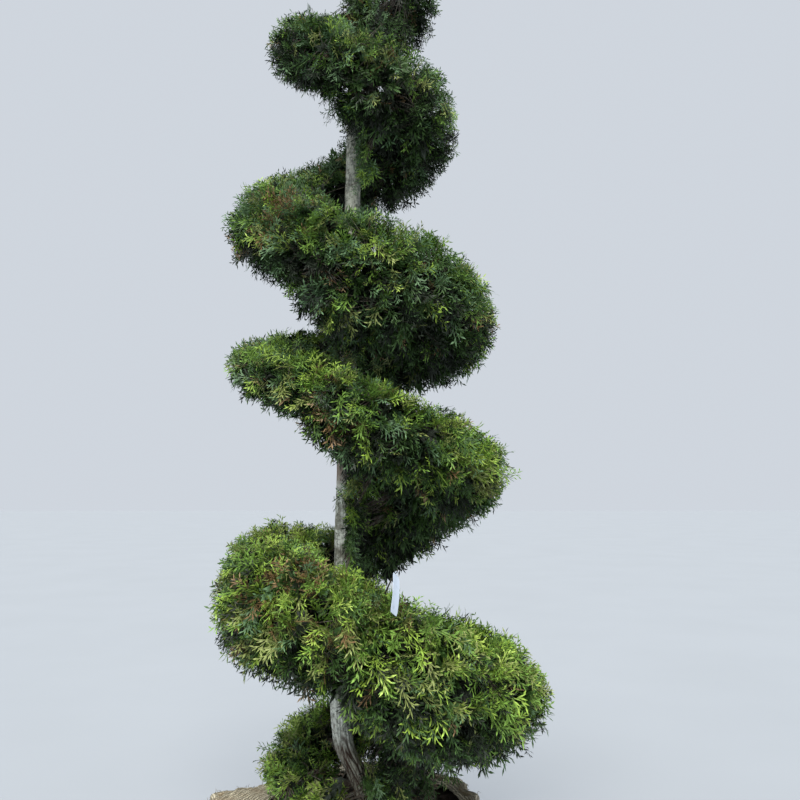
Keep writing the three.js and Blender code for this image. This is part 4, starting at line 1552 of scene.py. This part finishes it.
class SPIRAL_OT_foliage(bpy.types.Operator):
    """Flat scale-leaf fronds over the whole band, joined kind by kind"""

    bl_idname = "spiral.foliage"
    bl_label = "Foliage"

    def execute(self, context):
        sizes, colours = context.scene.spiral_sizes, context.scene.spiral_colours
        sprigs, fronds = whole_plant(sizes)
        templates = leaf_templates(sizes)
        triangles = np.array([len(template) // 2 for template in templates])[fronds["template"]]
        kinds = deal_kinds(sprigs, fronds)
        for kind, name in enumerate(FROND_KINDS):
            own = np.flatnonzero(kinds == kind)
            own = own[np.argsort(fronds["turn"][own], kind="stable")]
            parts = max(1, math.ceil(triangles[own].sum() / PIECE_TRIANGLES))
            material = leaf_material("leaf_" + name, getattr(colours, name))
            shares = np.cumsum(triangles[own]) / triangles[own].sum()
            for number in range(parts):
                part = own[(shares > number / parts) & (shares <= (number + 1) / parts)]
                label = f"fronds_{name}_{number + 1}" if parts > 1 else f"fronds_{name}"
                piece = frond_mesh(label, templates, picked(fronds, part))
                masses = np.unique(((fronds["turn"][part] - BAND_START) / MASS_TURNS).astype(int))
                nodes = [MASS_NODES[i] for i in masses if 0 <= i < len(MASS_NODES)]
                settle(piece, material, nodes)
        return {"FINISHED"}


class SPIRAL_OT_tip(bpy.types.Operator):
    """The unclipped tuft of young sprays round the leader"""

    bl_idname = "spiral.tip"
    bl_label = "Tip"

    def execute(self, context):
        sizes, colours = context.scene.spiral_sizes, context.scene.spiral_colours
        rng = np.random.default_rng(SEED + 7)
        count = TIP_FRONDS
        share = rng.random(count) ** 1.35
        angle = rng.uniform(0, 2 * math.pi, count)
        lean = np.radians(64 - 58 * share + rng.normal(0, 9, count))
        along = round_axis(np.sin(lean), angle, np.cos(lean))
        sideways = np.stack([-np.sin(angle), np.cos(angle), rng.normal(0, 0.4, count)], -1)
        across = square_to(along, unit(sideways))
        lengths = sizes.frond_length * rng.uniform(0.6, 0.95, count)
        middle = trunk_middle(TIP_BOTTOM)[0]
        heights = TIP_BOTTOM - 0.07 + (TIP_TOP - TIP_BOTTOM - 0.01) * share
        root = np.stack([np.full(count, middle), np.zeros(count), heights], -1) + along * 0.008
        root[:, 2] -= np.maximum(0, root[:, 2] + along[:, 2] * lengths - TIP_TOP)
        fronds = {
            "root": root,
            "along": along,
            "across": across,
            "face": unit(np.cross(across, along)),
            "length": lengths,
            "curl": rng.uniform(-0.1, 0.1, count),
            "droop": rng.uniform(0, 0.1, count),
            "template": rng.choice(FINE_TEMPLATES, count),
        }
        tuft = frond_mesh("tip_fronds", leaf_templates(sizes), fronds)
        settle(tuft, leaf_material("leaf_young", scaled(colours.mid, 0.85)), [TIP_NODE])
        foot = np.array([[trunk_middle(TRUNK_TOP)[0], 0, TRUNK_TOP - 0.02]])
        top = np.array([[middle, 0, TIP_TOP - 0.03]])
        leader = limb_piece("leader", (foot, top, *LEADER_RADII, 8, 6, [0.006, 0.004, 0]))
        smooth(leader)
        settle(leader, twig_material("bark_leader", colours))
        return {"FINISHED"}


class SPIRAL_OT_label(bpy.types.Operator):
    """The blank nursery label, its strap and the twig that it hangs from"""

    bl_idname = "spiral.label"
    bl_label = "Label"

    def plate(self, width, height):
        """A thin slab with round corners, a little bowed, in the label's own place"""
        bpy.ops.mesh.primitive_cube_add(size=1)
        tag = bpy.context.active_object
        tag.name = "label_plate"
        bpy.ops.transform.resize(value=(width, height, LABEL_THICKNESS))
        bpy.ops.object.transform_apply(scale=True)
        bpy.ops.object.mode_set(mode="EDIT")
        bpy.ops.mesh.select_all(action="SELECT")
        bpy.ops.mesh.subdivide(number_cuts=10)
        bpy.ops.object.mode_set(mode="OBJECT")
        points = points_of(tag)
        corner = width * LABEL_END
        end = np.clip(np.abs(points[:, 1]) - (height / 2 - corner), 0, None) / corner
        points[:, 0] *= 1 - LABEL_END_NARROWING * end**2
        share = points[:, 1] / height + 0.5
        points[:, 2] += 0.004 * np.sin(math.pi * share) + 0.10 * points[:, 0] ** 2 / width
        set_points(tag, self.placed(points))
        smooth(tag, 40)
        return tag

    def placed(self, points):
        """Turns flat points (across, up, out) so that they lie between the label's two ends"""
        top, bottom = Vector(LABEL_TOP), Vector(LABEL_BOTTOM)
        up = (top - bottom).normalized()
        across = Vector(LABEL_ACROSS)
        across = (across - up * across.dot(up)).normalized()
        out = across.cross(up)
        middle = np.array((top + bottom) / 2)
        return middle + points @ np.array([across, up, out])

    def execute(self, context):
        sizes, colours = context.scene.spiral_sizes, context.scene.spiral_colours
        material = label_material(colours)
        settle(self.plate(sizes.label_width, sizes.label_height), material)
        angles = np.linspace(0, 2 * math.pi, STRAP_LINKS + 1)[:-1]
        top, twig = np.array(LABEL_TOP), np.array(LABEL_TWIG)
        half, side = (twig - top) * 0.62, np.array([STRAP_HALF_WIDTH, 0, 0])
        ring = (top + twig) / 2 + np.outer(np.cos(angles), half) + np.outer(np.sin(angles), side)
        links = (ring, np.roll(ring, -1, axis=0), STRAP_RADIUS, STRAP_RADIUS, 6, 1, 0.0)
        settle(limb_piece("label_strap", links), material)
        foot, end = np.array([LABEL_TWIG_FOOT]), twig[None] + [[0.004, -0.006, 0.006]]
        carrier = limb_piece("label_twig", (foot, end, *LABEL_TWIG_RADII, 7, 8, [0, 0.006, 0.012]))
        smooth(carrier)
        settle(carrier, twig_material("bark_label_twig", colours))
        return {"FINISHED"}


CLASSES = (
    SpiralSizes,
    SpiralColours,
    SPIRAL_OT_stage,
    SPIRAL_OT_root_ball,
    SPIRAL_OT_trunk,
    SPIRAL_OT_boughs,
    SPIRAL_OT_foliage,
    SPIRAL_OT_tip,
    SPIRAL_OT_label,
)
STEPS = [each for each in CLASSES if issubclass(each, bpy.types.Operator)]


class SPIRAL_PT_panel(bpy.types.Panel):
    """Lists the steps that build the plant"""

    bl_label = "Spiral Evergreen"
    bl_idname = "SPIRAL_PT_panel"
    bl_space_type = "VIEW_3D"
    bl_region_type = "UI"
    bl_category = "Spiral"

    def draw(self, context):
        for group in (context.scene.spiral_sizes, context.scene.spiral_colours):
            column = self.layout.column()
            for name in type(group).__annotations__:
                column.prop(group, name)
        for step in STEPS:
            self.layout.operator(step.bl_idname)


def register():
    for each in (*CLASSES, SPIRAL_PT_panel):
        bpy.utils.register_class(each)
    bpy.types.Scene.spiral_sizes = bpy.props.PointerProperty(type=SpiralSizes)
    bpy.types.Scene.spiral_colours = bpy.props.PointerProperty(type=SpiralColours)


def unregister():
    del bpy.types.Scene.spiral_sizes
    del bpy.types.Scene.spiral_colours
    for each in reversed((*CLASSES, SPIRAL_PT_panel)):
        bpy.utils.unregister_class(each)


def main():
    register()
    bpy.ops.spiral.stage()
    bpy.ops.spiral.root_ball()
    bpy.ops.spiral.trunk()
    bpy.ops.spiral.boughs()
    bpy.ops.spiral.foliage()
    bpy.ops.spiral.tip()
    bpy.ops.spiral.label()


if __name__ == "__main__":
    main()
